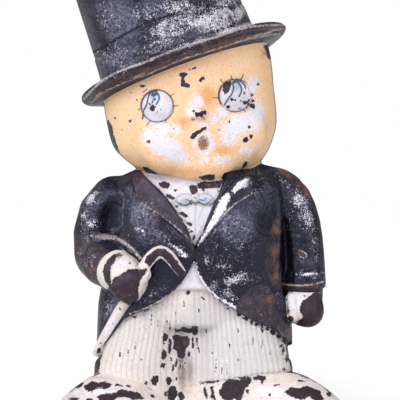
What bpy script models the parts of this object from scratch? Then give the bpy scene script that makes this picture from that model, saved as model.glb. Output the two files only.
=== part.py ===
"""Cast iron doorstop: a child in a top hat and tailcoat, cast as two hollow halves.

The figure faces -Y and stands on z = 0, with the origin under its middle. The halves meet on the
plane y = 0, and two round-head machine screws, driven from behind, hold them together. Left and
right in the comments are the figure's own, so its right arm, with the cane, is on the -X side.
"""

import math
from collections import namedtuple

import bmesh
import bpy
from mathutils import Euler, Matrix, Vector

MM = 0.001

# Unit of the outlines, ring offsets and paths that were laid out by eye, so that they scale as one.
UNIT = 1.0 * MM

# Casting: the wall, and the joint between the halves.
WALL = 3.6 * MM
SEAM_GAP = 0.3 * MM
SMALLEST_EDGE = 0.005 * MM

# Heights of the figure, each one measured from the one before.
CROTCH_Z = 45.5 * MM
RISE = 29.5 * MM
TORSO_HEIGHT = 43.0 * MM
CHIN_DROP = 5.5 * MM
HEAD_HEIGHT = 74.0 * MM
BRIM_ABOVE_CHIN = 54.9 * MM
WAIST_Z = CROTCH_Z + RISE
NECK_Z = WAIST_Z + TORSO_HEIGHT
CHIN_Z = NECK_Z - CHIN_DROP

# Head and face.
HEAD_HALF_WIDTH = 40.0 * MM
HEAD_HALF_DEPTH = 32.5 * MM
HEAD_X = -4.2 * MM
HAIR_THICKNESS = 1.2 * MM
HAIRLINE_Y = 9.0 * MM
EYE_RADIUS = 7.4 * MM
EYE_BULGE = 3.2 * MM
EYE_SINK = 0.8 * MM
EYES_ABOVE_CHIN = 36.6 * MM
EYE_SPACING = 35.0 * MM
EYES_X = -1.7 * MM
EYE_LINE_RISE = 2.35 * MM
NOSE_RADIUS = 3.2 * MM
NOSE_SINK = 0.6 * MM
NOSE_X = -0.9 * MM
NOSE_ABOVE_CHIN = 31.0 * MM

# Top hat: it leans to the figure's right and a little back.
HAT_X = -7.4 * MM
HAT_LEAN = math.radians(20.0)
HAT_TIP_BACK = math.radians(6.0)
CROWN_HEIGHT = 60.0 * MM
CROWN_RADIUS = 36.7 * MM
CROWN_TAPER = 1.6 * MM
CROWN_SHIFT = -1.4 * MM
CROWN_EDGE = 1.6 * MM
BRIM_OVERHANG = 13.7 * MM
BRIM_THICKNESS = 3.6 * MM
BRIM_TURN_UP = 3.2 * MM
FLARE_HEIGHT = 9.0 * MM
HAT_DEPTH_SHARE = 0.87

# Body, coat and shirt front.
TORSO_HALF_WIDTH = 40.0 * MM
TORSO_HALF_DEPTH = 27.0 * MM
TRUNK_POWER = 2.4
COAT_THICKNESS = 1.8 * MM
LAPEL_THICKNESS = 1.3 * MM
LAPEL_OVERHANG = 0.8 * MM
COLLAR_HALF_WIDTH = 30.0 * MM
COLLAR_HALF_DEPTH = 23.5 * MM
COLLAR_HEIGHT = 12.0 * MM
COLLAR_WALL_RISE = 2.0 * MM
SKIRT_FLARE = 2.2 * MM
SKIRT_OVERLAP = 3.0 * MM
TAIL_END_Z = 37.0 * MM
VENT_WIDTH = 1.6 * MM
VENT_DEPTH = 1.6 * MM
BUTTON_RADIUS = 2.2 * MM
BUTTON_SINK = 0.9 * MM
BUTTON_SPACING = 19.0 * MM
VENT_BELOW_WAIST = 6.6 * MM
BOW_KNOT_RADIUS = 2.0 * MM
BOW_WING_OFFSET = 4.6 * MM
BOW_WING_HALF_WIDTH = 4.2 * MM
BOW_WING_HALF_DEPTH = 1.7 * MM
BOW_WING_HALF_HEIGHT = 2.4 * MM
BOW_Y = -25.4 * MM
BOW_KNOT_STEP = 0.6 * MM
BOW_BELOW_NECK = 12.0 * MM
BOW_X = -2.0 * MM

# Shoulders, sleeves, cuffs and hands.
SHOULDERS_X = -0.5 * MM
SHOULDERS_BELOW_NECK = 9.0 * MM
SHOULDERS_HALF_WIDTH = 47.0 * MM
SHOULDERS_HALF_DEPTH = 17.5 * MM
SHOULDERS_HALF_HEIGHT = 13.5 * MM
SHOULDERS_TILT = math.radians(3.5)
SHOULDER_RADIUS = 11.0 * MM
SLEEVE_RADIUS = 10.6 * MM
WRIST_RADIUS = 9.6 * MM
CUFF_STEP = 1.2 * MM
CUFF_LENGTH = 4.5 * MM
HAND_HALF_WIDTH = 9.4 * MM
HAND_HALF_THICKNESS = 8.7 * MM
HAND_HALF_LENGTH = 9.9 * MM

# Cane.
CANE_RADIUS = 2.3 * MM

# Hips, legs and shoes.
HIP_HALF_WIDTH = 41.5 * MM
HIP_HALF_DEPTH = 23.8 * MM
HIP_X = -2.5 * MM
HIP_OVERLAP = 2.5 * MM
HIP_POWER = 2.6
RIGHT_LEG_HALF_WIDTH = 19.6 * MM
RIGHT_FOOT_X = -31.3 * MM
RIGHT_LEG_TOP_X = -26.0 * MM
LEFT_LEG_HALF_WIDTH = 23.3 * MM
LEFT_FOOT_X = 22.2 * MM
LEFT_LEG_TOP_X = 17.6 * MM
LEG_HALF_DEPTH = 22.0 * MM
LEG_POWER = 2.4
LEG_INTO_SHOE = 11.0 * MM
LEG_INTO_HIPS = 25.0 * MM
WEB_OVERLAP = 6.0 * MM
WEB_HALF_DEPTH = 13.0 * MM
TURN_UP_Z = 22.0 * MM
TURN_UP_HEIGHT = 8.8 * MM
TURN_UP_STEP = 1.4 * MM
SHOE_HEIGHT = 26.0 * MM
SHOE_HALF_LENGTH = 32.5 * MM
SHOE_HALF_WIDTH = 22.5 * MM
RIGHT_SHOE_X = -39.6 * MM
RIGHT_SHOE_Y = -14.5 * MM
RIGHT_TOE_OUT = math.radians(40.0)
LEFT_SHOE_X = 38.6 * MM
LEFT_SHOE_Y = -14.0 * MM
LEFT_TOE_OUT = math.radians(50.0)
WELT_HEIGHT = 3.0 * MM
WELT_STEP = 1.0 * MM
HEEL_WIDTH_SHARE = 0.88
HEEL_LIFT_HEIGHT = 6.0 * MM

# Screws and the bosses that they pull together.
SCREW_RADIUS = 2.08 * MM
SCREW_CLEARANCE = 0.3 * MM
SCREW_HEAD_RADIUS = 3.9 * MM
SCREW_HEAD_HEIGHT = 2.6 * MM
SCREW_SLOT_WIDTH = 0.9 * MM
SCREW_SLOT_DEPTH = 1.2 * MM
SCREW_REACH = 14.0 * MM
SCREW_CHAMFER = 0.4 * MM
BOSS_RADIUS = 6.5 * MM
SPIGOT_RADIUS = 4.3 * MM
SPIGOT_LENGTH = 2.5 * MM
SEAT_RADIUS = 5.2 * MM
SEAT_DEPTH = 1.3 * MM
UPPER_SCREW_ABOVE_CHIN = 27.0 * MM
LOWER_SCREW_BELOW_WAIST = 9.0 * MM
LOWER_SCREW_X = -2.5 * MM

# Sides of the round forms: the figure's large skins, its hollows, bosses and limbs, and balls.
FINE, PLAIN, SMALL, COARSE = 36, 28, 20, 14
CAP_ANGLES = [math.radians(angle) for angle in (0.0, 35.0, 62.0, 82.0)]
SHARP_ABOVE = math.radians(40.0)

# Where many skins cross at once, the exact solver leaves open edges, or edges that four faces
# share. This solver doesn't.
CROWDED = "MANIFOLD"

Ring = namedtuple("Ring", "share width depth x y", defaults=(0.0, 0.0))

# Outlines of the standing forms, bottom to top: the share of the form's height, the shares of its
# half width and half depth, and how far the middle of the ring lies from the form's own.
HEAD_RINGS = (
    Ring(0.004, 0.28, 0.30, 1.7 * UNIT, -9.0 * UNIT),
    Ring(0.040, 0.50, 0.52, 0.2 * UNIT, -6.5 * UNIT),
    Ring(0.115, 0.745, 0.76, 1.9 * UNIT, -3.0 * UNIT),
    Ring(0.200, 0.89, 0.89, 0.3 * UNIT, -1.0 * UNIT),
    Ring(0.290, 0.955, 0.965, 0.4 * UNIT),
    Ring(0.385, 0.99, 1.0, 0.4 * UNIT),
    Ring(0.490, 1.0, 1.0, -0.6 * UNIT),
    Ring(0.600, 0.985, 0.985, -1.0 * UNIT),
    Ring(0.720, 0.96, 0.96, -0.6 * UNIT),
    Ring(0.845, 0.92, 0.92, -0.3 * UNIT, 0.5 * UNIT),
    Ring(0.940, 0.84, 0.84, -0.3 * UNIT, 1.0 * UNIT),
    Ring(1.000, 0.70, 0.70, -0.3 * UNIT, 1.0 * UNIT),
)
TORSO_RINGS = (
    Ring(-0.25, 0.97, 0.98),
    Ring(0.00, 0.95, 0.97, 0.0, -0.5 * UNIT),
    Ring(0.25, 0.985, 1.0, -0.5 * UNIT, -1.0 * UNIT),
    Ring(0.50, 1.0, 0.98, -1.0 * UNIT, -0.5 * UNIT),
    Ring(0.72, 0.97, 0.92, -1.0 * UNIT),
    Ring(0.88, 0.86, 0.82, -1.0 * UNIT),
    Ring(1.00, 0.62, 0.68, -1.5 * UNIT),
    Ring(1.08, 0.50, 0.58, -2.0 * UNIT),
)
COLLAR_RINGS = (
    Ring(0.0, 0.80, 0.80),
    Ring(0.1, 1.0, 1.0),
    Ring(0.8, 0.94, 0.96),
    Ring(1.0, 0.84, 0.86),
)
HIP_RINGS = (
    Ring(0.00, 0.86, 0.78),
    Ring(0.08, 0.95, 0.87),
    Ring(0.25, 1.0, 0.95),
    Ring(0.55, 1.0, 1.0),
    Ring(0.80, 0.98, 1.0),
    Ring(1.00, 0.94, 0.99),
)
LEG_RINGS = (
    Ring(0.00, 1.0, 0.97),
    Ring(0.30, 0.98, 1.0),
    Ring(0.58, 0.92, 0.99),
    Ring(0.75, 0.85, 0.95),
    Ring(1.00, 0.72, 0.78),
)
SHOE_RINGS = (
    Ring(-0.20, 0.90, 0.90),
    Ring(0.13, 0.97, 0.97),
    Ring(0.33, 0.98, 1.00),
    Ring(0.52, 0.93, 0.93, 0.0, 1.5 * UNIT),
    Ring(0.72, 0.79, 0.79, 0.0, 4.5 * UNIT),
    Ring(0.90, 0.60, 0.62, 0.0, 8.0 * UNIT),
    Ring(1.00, 0.44, 0.50, 0.0, 10.5 * UNIT),
)
WELT_RINGS = (
    Ring(-0.5, 1.0, 1.0),
    Ring(0.7, 1.0, 1.0),
    Ring(1.0, 0.97, 0.965),
)

# Screw head, from its edge to the middle of its dome: shares of its radius and of its height.
DOME_PROFILE = ((1.0, 0.0), (1.0, 0.15), (0.93, 0.5), (0.72, 0.82), (0.4, 0.97), (0.12, 1.0))


def clear_scene():
    """Removes what the scene holds before the model is made."""
    for obj in list(bpy.data.objects):
        bpy.data.objects.remove(obj)


def paint(name, colour, roughness, metallic):
    """A material with one colour, roughness and metallic value."""
    material = bpy.data.materials.new(name)
    material.use_nodes = True
    shader = material.node_tree.nodes["Principled BSDF"]
    shader.inputs["Base Color"].default_value = (*colour, 1.0)
    shader.inputs["Roughness"].default_value = roughness
    shader.inputs["Metallic"].default_value = metallic
    return material


def make_paints():
    """The bare iron and the paints that the figure wears."""
    return {
        "iron": paint("bare_iron", (0.060, 0.045, 0.045), 0.6, 0.4),
        "black": paint("black_paint", (0.017, 0.017, 0.024), 0.38, 0.0),
        "flesh": paint("flesh_paint", (0.86, 0.55, 0.30), 0.45, 0.0),
        "white": paint("white_paint", (0.78, 0.74, 0.72), 0.5, 0.0),
        "steel": paint("screw_iron", (0.10, 0.085, 0.08), 0.5, 0.8),
    }


def new_object(name, bm, material):
    """An object with the closed mesh in bm, its faces turned outwards."""
    bmesh.ops.recalc_face_normals(bm, faces=bm.faces)
    if bm.calc_volume(signed=True) < 0.0:
        bmesh.ops.reverse_faces(bm, faces=bm.faces[:])
    mesh = bpy.data.meshes.new(name)
    bm.to_mesh(mesh)
    bm.free()
    mesh.materials.append(material)
    obj = bpy.data.objects.new(name, mesh)
    bpy.context.scene.collection.objects.link(obj)
    return obj


def loft(name, stations, material, segments=PLAIN, power=2.0):
    """A closed skin through unit rings, each placed and sized by its station's matrix.

    The rings are circles where power is 2, and squarer where it is more.
    """
    unit = []
    for step in range(segments):
        angle = 2 * math.pi * step / segments
        across, along = math.cos(angle), math.sin(angle)
        unit.append(Vector((math.copysign(abs(across) ** (2 / power), across),
                            math.copysign(abs(along) ** (2 / power), along), 0.0)))
    bm = bmesh.new()
    loops = [[bm.verts.new(station @ place) for place in unit] for station in stations]
    for lower, upper in zip(loops, loops[1:]):
        for here in range(segments):
            after = (here + 1) % segments
            bm.faces.new((lower[here], lower[after], upper[after], upper[here]))
    bm.faces.new(loops[0])
    bm.faces.new(loops[-1])
    return new_object(name, bm, material)


def ellipse(centre, half_width, half_depth, turn=0.0):
    """The station of a level ellipse, turned about the vertical."""
    size = Matrix.Diagonal((half_width, half_depth, 1.0, 1.0))
    return Matrix.Translation(centre) @ Matrix.Rotation(turn, 4, "Z") @ size


def standing(name, rings, foot, top, half_width, half_depth, material, grow=0.0, turn=0.0,
             segments=PLAIN, power=2.0):
    """A standing form from its table of rings, between the middles of its foot and its top.

    grow moves the whole skin out, or in where it is negative.
    """
    foot, top = Vector(foot), Vector(top)
    low, high = rings[0].share, rings[-1].share
    height = top.z - foot.z
    stations = []
    for ring in rings:
        centre = foot.lerp(top, ring.share)
        centre += Matrix.Rotation(turn, 3, "Z") @ Vector((ring.x, ring.y, 0.0))
        # A grown skin also starts lower and ends higher, and a shrunk one the other way.
        stretch = 1.0 + 2 * grow / (height * (high - low))
        centre.z = foot.z + height * (low + (ring.share - low) * stretch) - grow
        wide = max(half_width * ring.width + grow, WALL / 2)
        deep = max(half_depth * ring.depth + grow, WALL / 2)
        stations.append(ellipse(centre, wide, deep, turn))
    return loft(name, stations, material, segments, power)


def smooth_path(points, steps):
    """Points along a curve through the given ones, with some steps from each to the next."""
    ends = [points[0] * 2 - points[1], *points, points[-1] * 2 - points[-2]]
    path = []
    for before, start, stop, after in zip(ends, ends[1:], ends[2:], ends[3:]):
        for step in range(steps):
            t = step / steps
            path.append((start * 2 + (stop - before) * t
                         + (before * 2 - start * 5 + stop * 4 - after) * t * t
                         + (start * 3 - before - stop * 3 + after) * t * t * t) / 2)
    return path + [points[-1]]


def limb(name, points, radii, material, grow=0.0, segments=PLAIN, steps=1, flat_end=False):
    """A round form along a smooth path, with a radius at each point and domed ends.

    With flat_end the form ends square across the last point.
    """
    sized = [Vector((*point, radius + grow)) for point, radius in zip(points, radii)]
    path = smooth_path(sized, steps)
    last = len(path) - 1
    stations = []
    before = Vector((0.0, 0.0, 1.0))
    turned = Matrix.Identity(4)
    for index, spot in enumerate(path):
        point, radius = spot.xyz, spot.w
        along = (path[min(index + 1, last)] - path[max(index - 1, 0)]).xyz.normalized()
        # Each ring turns no more than the path does, so the skin has no twist.
        turned = before.rotation_difference(along).to_matrix().to_4x4() @ turned
        before = along
        dome = [(0.0, 1.0)]
        if index == 0 or index == last and not flat_end:
            side = -1.0 if index == 0 else 1.0
            dome = [(side * math.sin(angle), math.cos(angle)) for angle in CAP_ANGLES]
        if index == 0:
            dome.reverse()
        for forward, size in dome:
            middle = Matrix.Translation(point + along * radius * forward)
            stations.append(middle @ turned
                            @ Matrix.Diagonal((radius * size, radius * size, 1.0, 1.0)))
    return loft(name, stations, material, segments)


def ball(name, centre, radii, material, rotation=(0.0, 0.0, 0.0), segments=COARSE):
    """An ellipsoid with the given half sizes."""
    bm = bmesh.new()
    place = Matrix.LocRotScale(Vector(centre), Euler(rotation), Vector(radii))
    bmesh.ops.create_uvsphere(bm, u_segments=segments, v_segments=segments * 2 // 3, radius=1.0,
                              matrix=place)
    return new_object(name, bm, material)


def block(name, low, high, material):
    """A box between two corners."""
    low, high = Vector(low), Vector(high)
    bm = bmesh.new()
    place = Matrix.Translation((low + high) / 2) @ Matrix.Diagonal((*(high - low), 1.0))
    bmesh.ops.create_cube(bm, size=1.0, matrix=place)
    return new_object(name, bm, material)


def prism(name, outline, front_y, back_y, material):
    """An outline in x and z, extruded along y."""
    bm = bmesh.new()
    face = bm.faces.new([bm.verts.new((x, front_y, z)) for x, z in outline])
    made = bmesh.ops.extrude_face_region(bm, geom=[face])
    moved = [item for item in made["geom"] if isinstance(item, bmesh.types.BMVert)]
    bmesh.ops.translate(bm, verts=moved, vec=(0.0, back_y - front_y, 0.0))
    return new_object(name, bm, material)


def rod(name, x, z, radius, front_y, back_y, material):
    """A cylinder along y."""
    facing = Matrix.Rotation(math.radians(-90.0), 4, "X")
    size = Matrix.Diagonal((radius, radius, 1.0, 1.0))
    stations = [Matrix.Translation((x, y, z)) @ facing @ size for y in (front_y, back_y)]
    return loft(name, stations, material, SMALL)


def settle(obj):
    """Gives the object the mesh that its modifiers make, without edges of no length."""
    depsgraph = bpy.context.evaluated_depsgraph_get()
    obj.data = bpy.data.meshes.new_from_object(obj.evaluated_get(depsgraph))
    obj.modifiers.clear()
    bm = bmesh.new()
    bm.from_mesh(obj.data)
    bmesh.ops.dissolve_degenerate(bm, dist=SMALLEST_EDGE, edges=bm.edges)
    bm.to_mesh(obj.data)
    bm.free()


def combine(operation, first, others, solver="EXACT"):
    """Joins the others to the first solid, cuts them from it, or keeps what they share."""
    group = bpy.data.collections.new("operands")
    bpy.context.scene.collection.children.link(group)
    for other in others:
        group.objects.link(other)
    modifier = first.modifiers.new(operation.lower(), "BOOLEAN")
    modifier.operation = operation
    modifier.solver = solver
    modifier.material_mode = "TRANSFER"
    modifier.operand_type = "COLLECTION"
    modifier.collection = group
    settle(first)
    for other in others:
        bpy.data.objects.remove(other)
    bpy.data.collections.remove(group)
    return first


def copy_of(obj, name):
    """A second object with a mesh of its own."""
    twin = bpy.data.objects.new(name, obj.data.copy())
    bpy.context.scene.collection.objects.link(twin)
    return twin


def hat_frame():
    """The hat's own axes: up its crown, from the middle of the brim."""
    lean = Matrix.Rotation(-HAT_LEAN, 4, "Y")
    tip = Matrix.Rotation(-HAT_TIP_BACK, 4, "X")
    return Matrix.Translation((HAT_X, 0.0, CHIN_Z + BRIM_ABOVE_CHIN)) @ lean @ tip


def hat_profile():
    """Height and half width of the hat's rings, from inside the head to the top of the crown."""
    base = CROWN_RADIUS
    edge = base + BRIM_OVERHANG
    half = BRIM_THICKNESS / 2
    return (
        (-half - BRIM_TURN_UP, base * 0.8),
        (-half - BRIM_TURN_UP, base),
        (-half - BRIM_TURN_UP * 0.45, base + BRIM_OVERHANG * 0.6),
        (-half * 0.8, edge - half * 0.4),
        (0.0, edge),
        (half * 0.8, edge - half * 0.4),
        (-BRIM_TURN_UP * 0.15, base + BRIM_OVERHANG * 0.55),
        (0.0, base + BRIM_OVERHANG * 0.28),
        (FLARE_HEIGHT * 0.35, base + BRIM_OVERHANG * 0.12),
        (FLARE_HEIGHT, base + BRIM_OVERHANG * 0.02),
        (FLARE_HEIGHT * 1.8, base),
        (CROWN_HEIGHT - CROWN_EDGE, base - CROWN_TAPER),
        (CROWN_HEIGHT - CROWN_EDGE * 0.3, base - CROWN_TAPER - CROWN_EDGE * 0.3),
        (CROWN_HEIGHT, base - CROWN_TAPER - CROWN_EDGE),
    )


def hat(material):
    """The hat: a turned shape, a little flattened front to back, its crown set off the brim."""
    stations = []
    for height, half_width in hat_profile():
        shift = CROWN_SHIFT if height > FLARE_HEIGHT * 0.3 else 0.0
        middle = Matrix.Translation((shift, 0.0, height))
        size = Matrix.Diagonal((half_width, half_width * HAT_DEPTH_SHARE, 1.0, 1.0))
        stations.append(hat_frame() @ middle @ size)
    return loft("hat", stations, material, FINE)


def hat_hollow(material):
    """The space inside the crown, open to the hollow of the head."""
    radius = CROWN_RADIUS - WALL
    heights = (-BRIM_TURN_UP, CROWN_HEIGHT * 0.6, CROWN_HEIGHT - WALL - CROWN_EDGE,
               CROWN_HEIGHT - WALL)
    halves = (radius, radius - CROWN_TAPER / 2, radius - CROWN_TAPER,
              radius - CROWN_TAPER - CROWN_EDGE)
    stations = []
    for height, half_width in zip(heights, halves):
        middle = Matrix.Translation((CROWN_SHIFT, 0.0, height))
        depth = (half_width + WALL) * HAT_DEPTH_SHARE - WALL
        size = Matrix.Diagonal((half_width, depth, 1.0, 1.0))
        stations.append(hat_frame() @ middle @ size)
    return loft("hat_hollow", stations, material, PLAIN)


def head(material, grow=0.0, segments=FINE):
    """The head, wide at the cheeks, from the chin to inside the hat."""
    foot = (HEAD_X, 0.0, CHIN_Z)
    top = (HEAD_X, 0.0, CHIN_Z + HEAD_HEIGHT)
    return standing("head", HEAD_RINGS, foot, top, HEAD_HALF_WIDTH, HEAD_HALF_DEPTH, material,
                    grow, segments=segments)


def hair(material):
    """Short hair: a cap over the back of the head, behind the hairline."""
    cap = head(material, HAIR_THICKNESS)
    reach = HEAD_HALF_WIDTH * 2
    behind = block("behind_hairline", (-reach, HAIRLINE_Y, CHIN_Z + 2 * HAIR_THICKNESS),
                   (reach, reach, CHIN_Z + HEAD_HEIGHT * 2), material)
    return combine("INTERSECT", cap, [behind])


def head_front_y(x):
    """Where the front of the head lies at some x, on its widest ring."""
    share = (x - HEAD_X) / HEAD_HALF_WIDTH
    return -HEAD_HALF_DEPTH * math.sqrt(max(1.0 - share * share, 0.0))


def face_features(white, flesh):
    """The two domed eyes and the button nose."""
    made = []
    for side in (-1.0, 1.0):
        x = EYES_X + side * EYE_SPACING / 2
        z = CHIN_Z + EYES_ABOVE_CHIN + side * EYE_LINE_RISE
        outward = math.atan2(x - HEAD_X, HEAD_HALF_WIDTH)
        made.append(ball("eye", (x, head_front_y(x) + EYE_SINK, z),
                         (EYE_RADIUS, EYE_BULGE, EYE_RADIUS), white, (0.0, 0.0, outward)))
    nose_z = CHIN_Z + NOSE_ABOVE_CHIN
    made.append(ball("nose", (NOSE_X, head_front_y(NOSE_X) + NOSE_SINK, nose_z),
                     (NOSE_RADIUS,) * 3, flesh))
    return made


def torso(material, grow=0.0, segments=FINE):
    """The body under the coat: its front shows as the shirt."""
    return standing("torso", TORSO_RINGS, (0.0, 0.0, WAIST_Z), (0.0, 0.0, NECK_Z),
                    TORSO_HALF_WIDTH, TORSO_HALF_DEPTH, material, grow, segments=segments,
                    power=TRUNK_POWER)


# The edges of the coat's opening over the shirt, from the neck down to its point, and the outer
# edges of the lapels, from the point up to the shoulder: x and how far below the neck, in units.
RIGHT_EDGE = ((-27.0, 0.8), (-18.5, 8.7), (-12.6, 15.6), (-8.3, 22.8), (-2.5, 33.6))
LEFT_EDGE = ((18.0, 1.7), (10.4, 10.7), (6.8, 18.3), (1.8, 27.8), (-2.1, 33.6))
RIGHT_LAPEL = ((-2.0, 37.5), (-8.1, 27.8), (-17.1, 20.6), (-26.3, 15.5), (-28.6, 10.7),
               (-31.5, 4.5))
LEFT_LAPEL = ((-1.6, 38.5), (0.5, 32.3), (6.3, 25.1), (14.4, 16.1), (25.2, 10.0), (24.5, 4.0))


def chest_outline(places, outwards=0.0):
    """An outline on the chest, in x and z, moved sideways."""
    return [(x * UNIT + outwards, NECK_Z - below * UNIT) for x, below in places]


# The cutaway below the waist, from the right tail's corner over the waist to the left tail's: x
# and how far below the waist, in units.
CUTAWAY_RIGHT = ((-60.0, 39.0), (-45.5, 33.2), (-33.3, 23.0), (-29.2, 21.7), (-18.0, 16.7),
                 (-9.0, 8.6), (-3.1, -0.4))
CUTAWAY_LEFT = ((0.0, 6.4), (4.5, 12.2), (9.9, 16.7), (15.8, 19.9), (25.2, 25.6),
                (34.5, 29.8), (42.5, 36.5), (60.0, 39.0))


def cutaway(material):
    """What is cut from the coat's front below the waist, down past the ends of its tails."""
    outline = [(x * UNIT, WAIST_Z - down * UNIT) for x, down in CUTAWAY_RIGHT + CUTAWAY_LEFT]
    floor = TAIL_END_Z - WALL
    outline += [(outline[-1][0], floor), (outline[0][0], floor)]
    return prism("cutaway", outline, -HEAD_HALF_DEPTH * 2, 0.0, material)


def coat_body(material):
    """The coat's upper part, cut open over the shirt a little wider than its lapels reach."""
    coat = torso(material, COAT_THICKNESS)
    outline = chest_outline(RIGHT_EDGE, -LAPEL_OVERHANG)
    outline += chest_outline(reversed(LEFT_EDGE), LAPEL_OVERHANG)
    above = NECK_Z + COLLAR_HEIGHT
    outline += [(outline[-1][0], above), (outline[0][0], above)]
    opening = prism("shirt_opening", outline, -TORSO_HALF_DEPTH * 2, 0.0, material)
    return combine("DIFFERENCE", coat, [opening, cutaway(material)])


def lapels(material):
    """The two lapels: raised parts of the coat, each with its own outline."""
    made = []
    for inner, outer in ((RIGHT_EDGE, RIGHT_LAPEL), (LEFT_EDGE, LEFT_LAPEL)):
        raised = torso(material, COAT_THICKNESS + LAPEL_THICKNESS)
        shape = prism("lapel_outline", chest_outline(inner + outer), -TORSO_HALF_DEPTH * 2,
                      -COAT_THICKNESS, material)
        made.append(combine("INTERSECT", raised, [shape]))
    return made


def collar(material):
    """The coat's collar behind the neck."""
    foot = (HEAD_X / 2, 0.0, NECK_Z - COLLAR_HEIGHT + COLLAR_WALL_RISE)
    top = (HEAD_X / 2, 0.0, NECK_Z + COLLAR_WALL_RISE)
    ring = standing("collar", COLLAR_RINGS, foot, top, COLLAR_HALF_WIDTH, COLLAR_HALF_DEPTH,
                    material)
    behind = block("behind_ears", (-COLLAR_HALF_WIDTH * 2, SEAM_GAP, foot[2] - WALL),
                   (COLLAR_HALF_WIDTH * 2, COLLAR_HALF_DEPTH * 2, top[2] + WALL), material)
    return combine("INTERSECT", ring, [behind])


def hips(material, grow=0.0, segments=FINE):
    """The hips, rounded under the crotch and hidden by the coat's skirt above it."""
    return standing("hips", HIP_RINGS, (HIP_X, 0.0, CROTCH_Z),
                    (HIP_X, 0.0, WAIST_Z + HIP_OVERLAP), HIP_HALF_WIDTH, HIP_HALF_DEPTH, material,
                    grow, segments=segments, power=HIP_POWER)


def skirt(material):
    """The coat below the waist: cut away in front, and ending behind as two tails."""
    rings = (Ring(0.0, 1.0, 1.0), Ring(0.5, 0.985, 0.985), Ring(1.0, 0.91, 0.94))
    wide = HIP_HALF_WIDTH + COAT_THICKNESS + SKIRT_FLARE
    deep = HIP_HALF_DEPTH + COAT_THICKNESS + SKIRT_FLARE
    cloth = standing("skirt", rings, (HIP_X, 0.0, TAIL_END_Z), (HIP_X, 0.0, WAIST_Z + SKIRT_OVERLAP),
                     wide, deep, material, segments=FINE, power=HIP_POWER)
    vent = block("vent", (HIP_X - VENT_WIDTH / 2, deep - VENT_DEPTH, TAIL_END_Z - WALL),
                 (HIP_X + VENT_WIDTH / 2, deep * 2, WAIST_Z - VENT_BELOW_WAIST), material)
    return combine("DIFFERENCE", cloth, [cutaway(material), vent])


def back_buttons(material):
    """The two buttons at the waist, over the vent."""
    made = []
    for side in (-1.0, 1.0):
        x = HIP_X + side * BUTTON_SPACING / 2
        y = HIP_HALF_DEPTH + COAT_THICKNESS - BUTTON_SINK
        made.append(ball("button", (x, y, WAIST_Z), (BUTTON_RADIUS,) * 3, material))
    return made


def bow_tie(material):
    """The bow: a knot between two wings."""
    z = NECK_Z - BOW_BELOW_NECK
    knot = ball("bow_knot", (BOW_X, BOW_Y - BOW_KNOT_STEP, z), (BOW_KNOT_RADIUS,) * 3, material)
    half_sizes = (BOW_WING_HALF_WIDTH, BOW_WING_HALF_DEPTH, BOW_WING_HALF_HEIGHT)
    wings = [ball("bow_wing", (BOW_X + side * BOW_WING_OFFSET, BOW_Y, z), half_sizes, material)
             for side in (-1.0, 1.0)]
    return [knot, *wings]


def shoulders(material, grow=0.0):
    """The coat's shoulders, from one sleeve to the other under the chin."""
    return ball("shoulders", (SHOULDERS_X, 0.0, NECK_Z - SHOULDERS_BELOW_NECK),
                (SHOULDERS_HALF_WIDTH + grow, SHOULDERS_HALF_DEPTH + grow,
                 SHOULDERS_HALF_HEIGHT + grow), material, (0.0, -SHOULDERS_TILT, 0.0), PLAIN)


# Paths of the arms, from the shoulder: x, y and how far below the neck, in units.
RIGHT_ARM = ((-39.5, 0.0, 13.5), (-44.8, -0.5, 19.0), (-47.5, -0.8, 29.0), (-47.6, -3.0, 38.8),
             (-44.8, -10.0, 43.6), (-39.0, -17.0, 45.6))
RIGHT_HAND = (-30.8, -24.5, 49.6)
LEFT_ARM = ((35.5, 0.0, 9.8), (41.0, -0.5, 14.6), (44.9, -1.5, 25.0), (46.9, -2.8, 38.0),
            (48.2, -4.2, 53.5))
LEFT_HAND = (47.6, -5.2, 65.4)


def arm_point(place):
    """A place on an arm, in the figure's own axes."""
    x, y, below_neck = place
    return Vector((x * UNIT, y * UNIT, NECK_Z - below_neck * UNIT))


def arm_radii(path):
    """The sleeve's radius at each point of an arm: full at the shoulder, less at the wrist."""
    last = len(path) - 1
    return [SHOULDER_RADIUS if index == 0
            else SLEEVE_RADIUS + (WRIST_RADIUS - SLEEVE_RADIUS) * (index - 1) / (last - 1)
            for index in range(last + 1)]


def arms(black, white, grow=0.0):
    """Both sleeves with their cuffs and hands, or only the sleeves where grow isn't zero."""
    made = []
    for path, hand in ((RIGHT_ARM, RIGHT_HAND), (LEFT_ARM, LEFT_HAND)):
        points = [arm_point(place) for place in path]
        made.append(limb("sleeve", points, arm_radii(path), black, grow, SMALL, 2, True))
        if grow:
            continue
        wrist = points[-1]
        palm = arm_point(hand)
        along = (palm - wrist).normalized()
        cuff_ends = (wrist - along * CUFF_STEP, wrist + along * CUFF_LENGTH)
        cuff_radius = WRIST_RADIUS - CUFF_STEP
        made.append(limb("cuff", cuff_ends, (cuff_radius,) * 2, white, 0.0, SMALL, 1, True))
        turned = along.to_track_quat("Z", "Y").to_euler()
        made.append(ball("hand", palm, (HAND_HALF_WIDTH, HAND_HALF_THICKNESS, HAND_HALF_LENGTH),
                         white, turned))
    return made


# The cane's path from its tip, up through the right hand and round the crook, like the arms'.
CANE_PATH = ((-47.2, -8.5, 83.5), (-41.0, -16.5, 71.5), (-33.5, -21.3, 59.0),
             (-28.5, -23.6, 50.0), (-24.0, -24.6, 41.5), (-21.5, -25.6, 36.6),
             (-17.7, -27.0, 34.2), (-13.0, -28.3, 35.0), (-9.6, -29.0, 39.0),
             (-8.0, -29.1, 44.5))


def cane(material):
    """The walking cane, cast against the coat and the leg."""
    points = [arm_point(place) for place in CANE_PATH]
    return limb("cane", points, [CANE_RADIUS] * len(points), material, 0.0, COARSE, 2)


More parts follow.
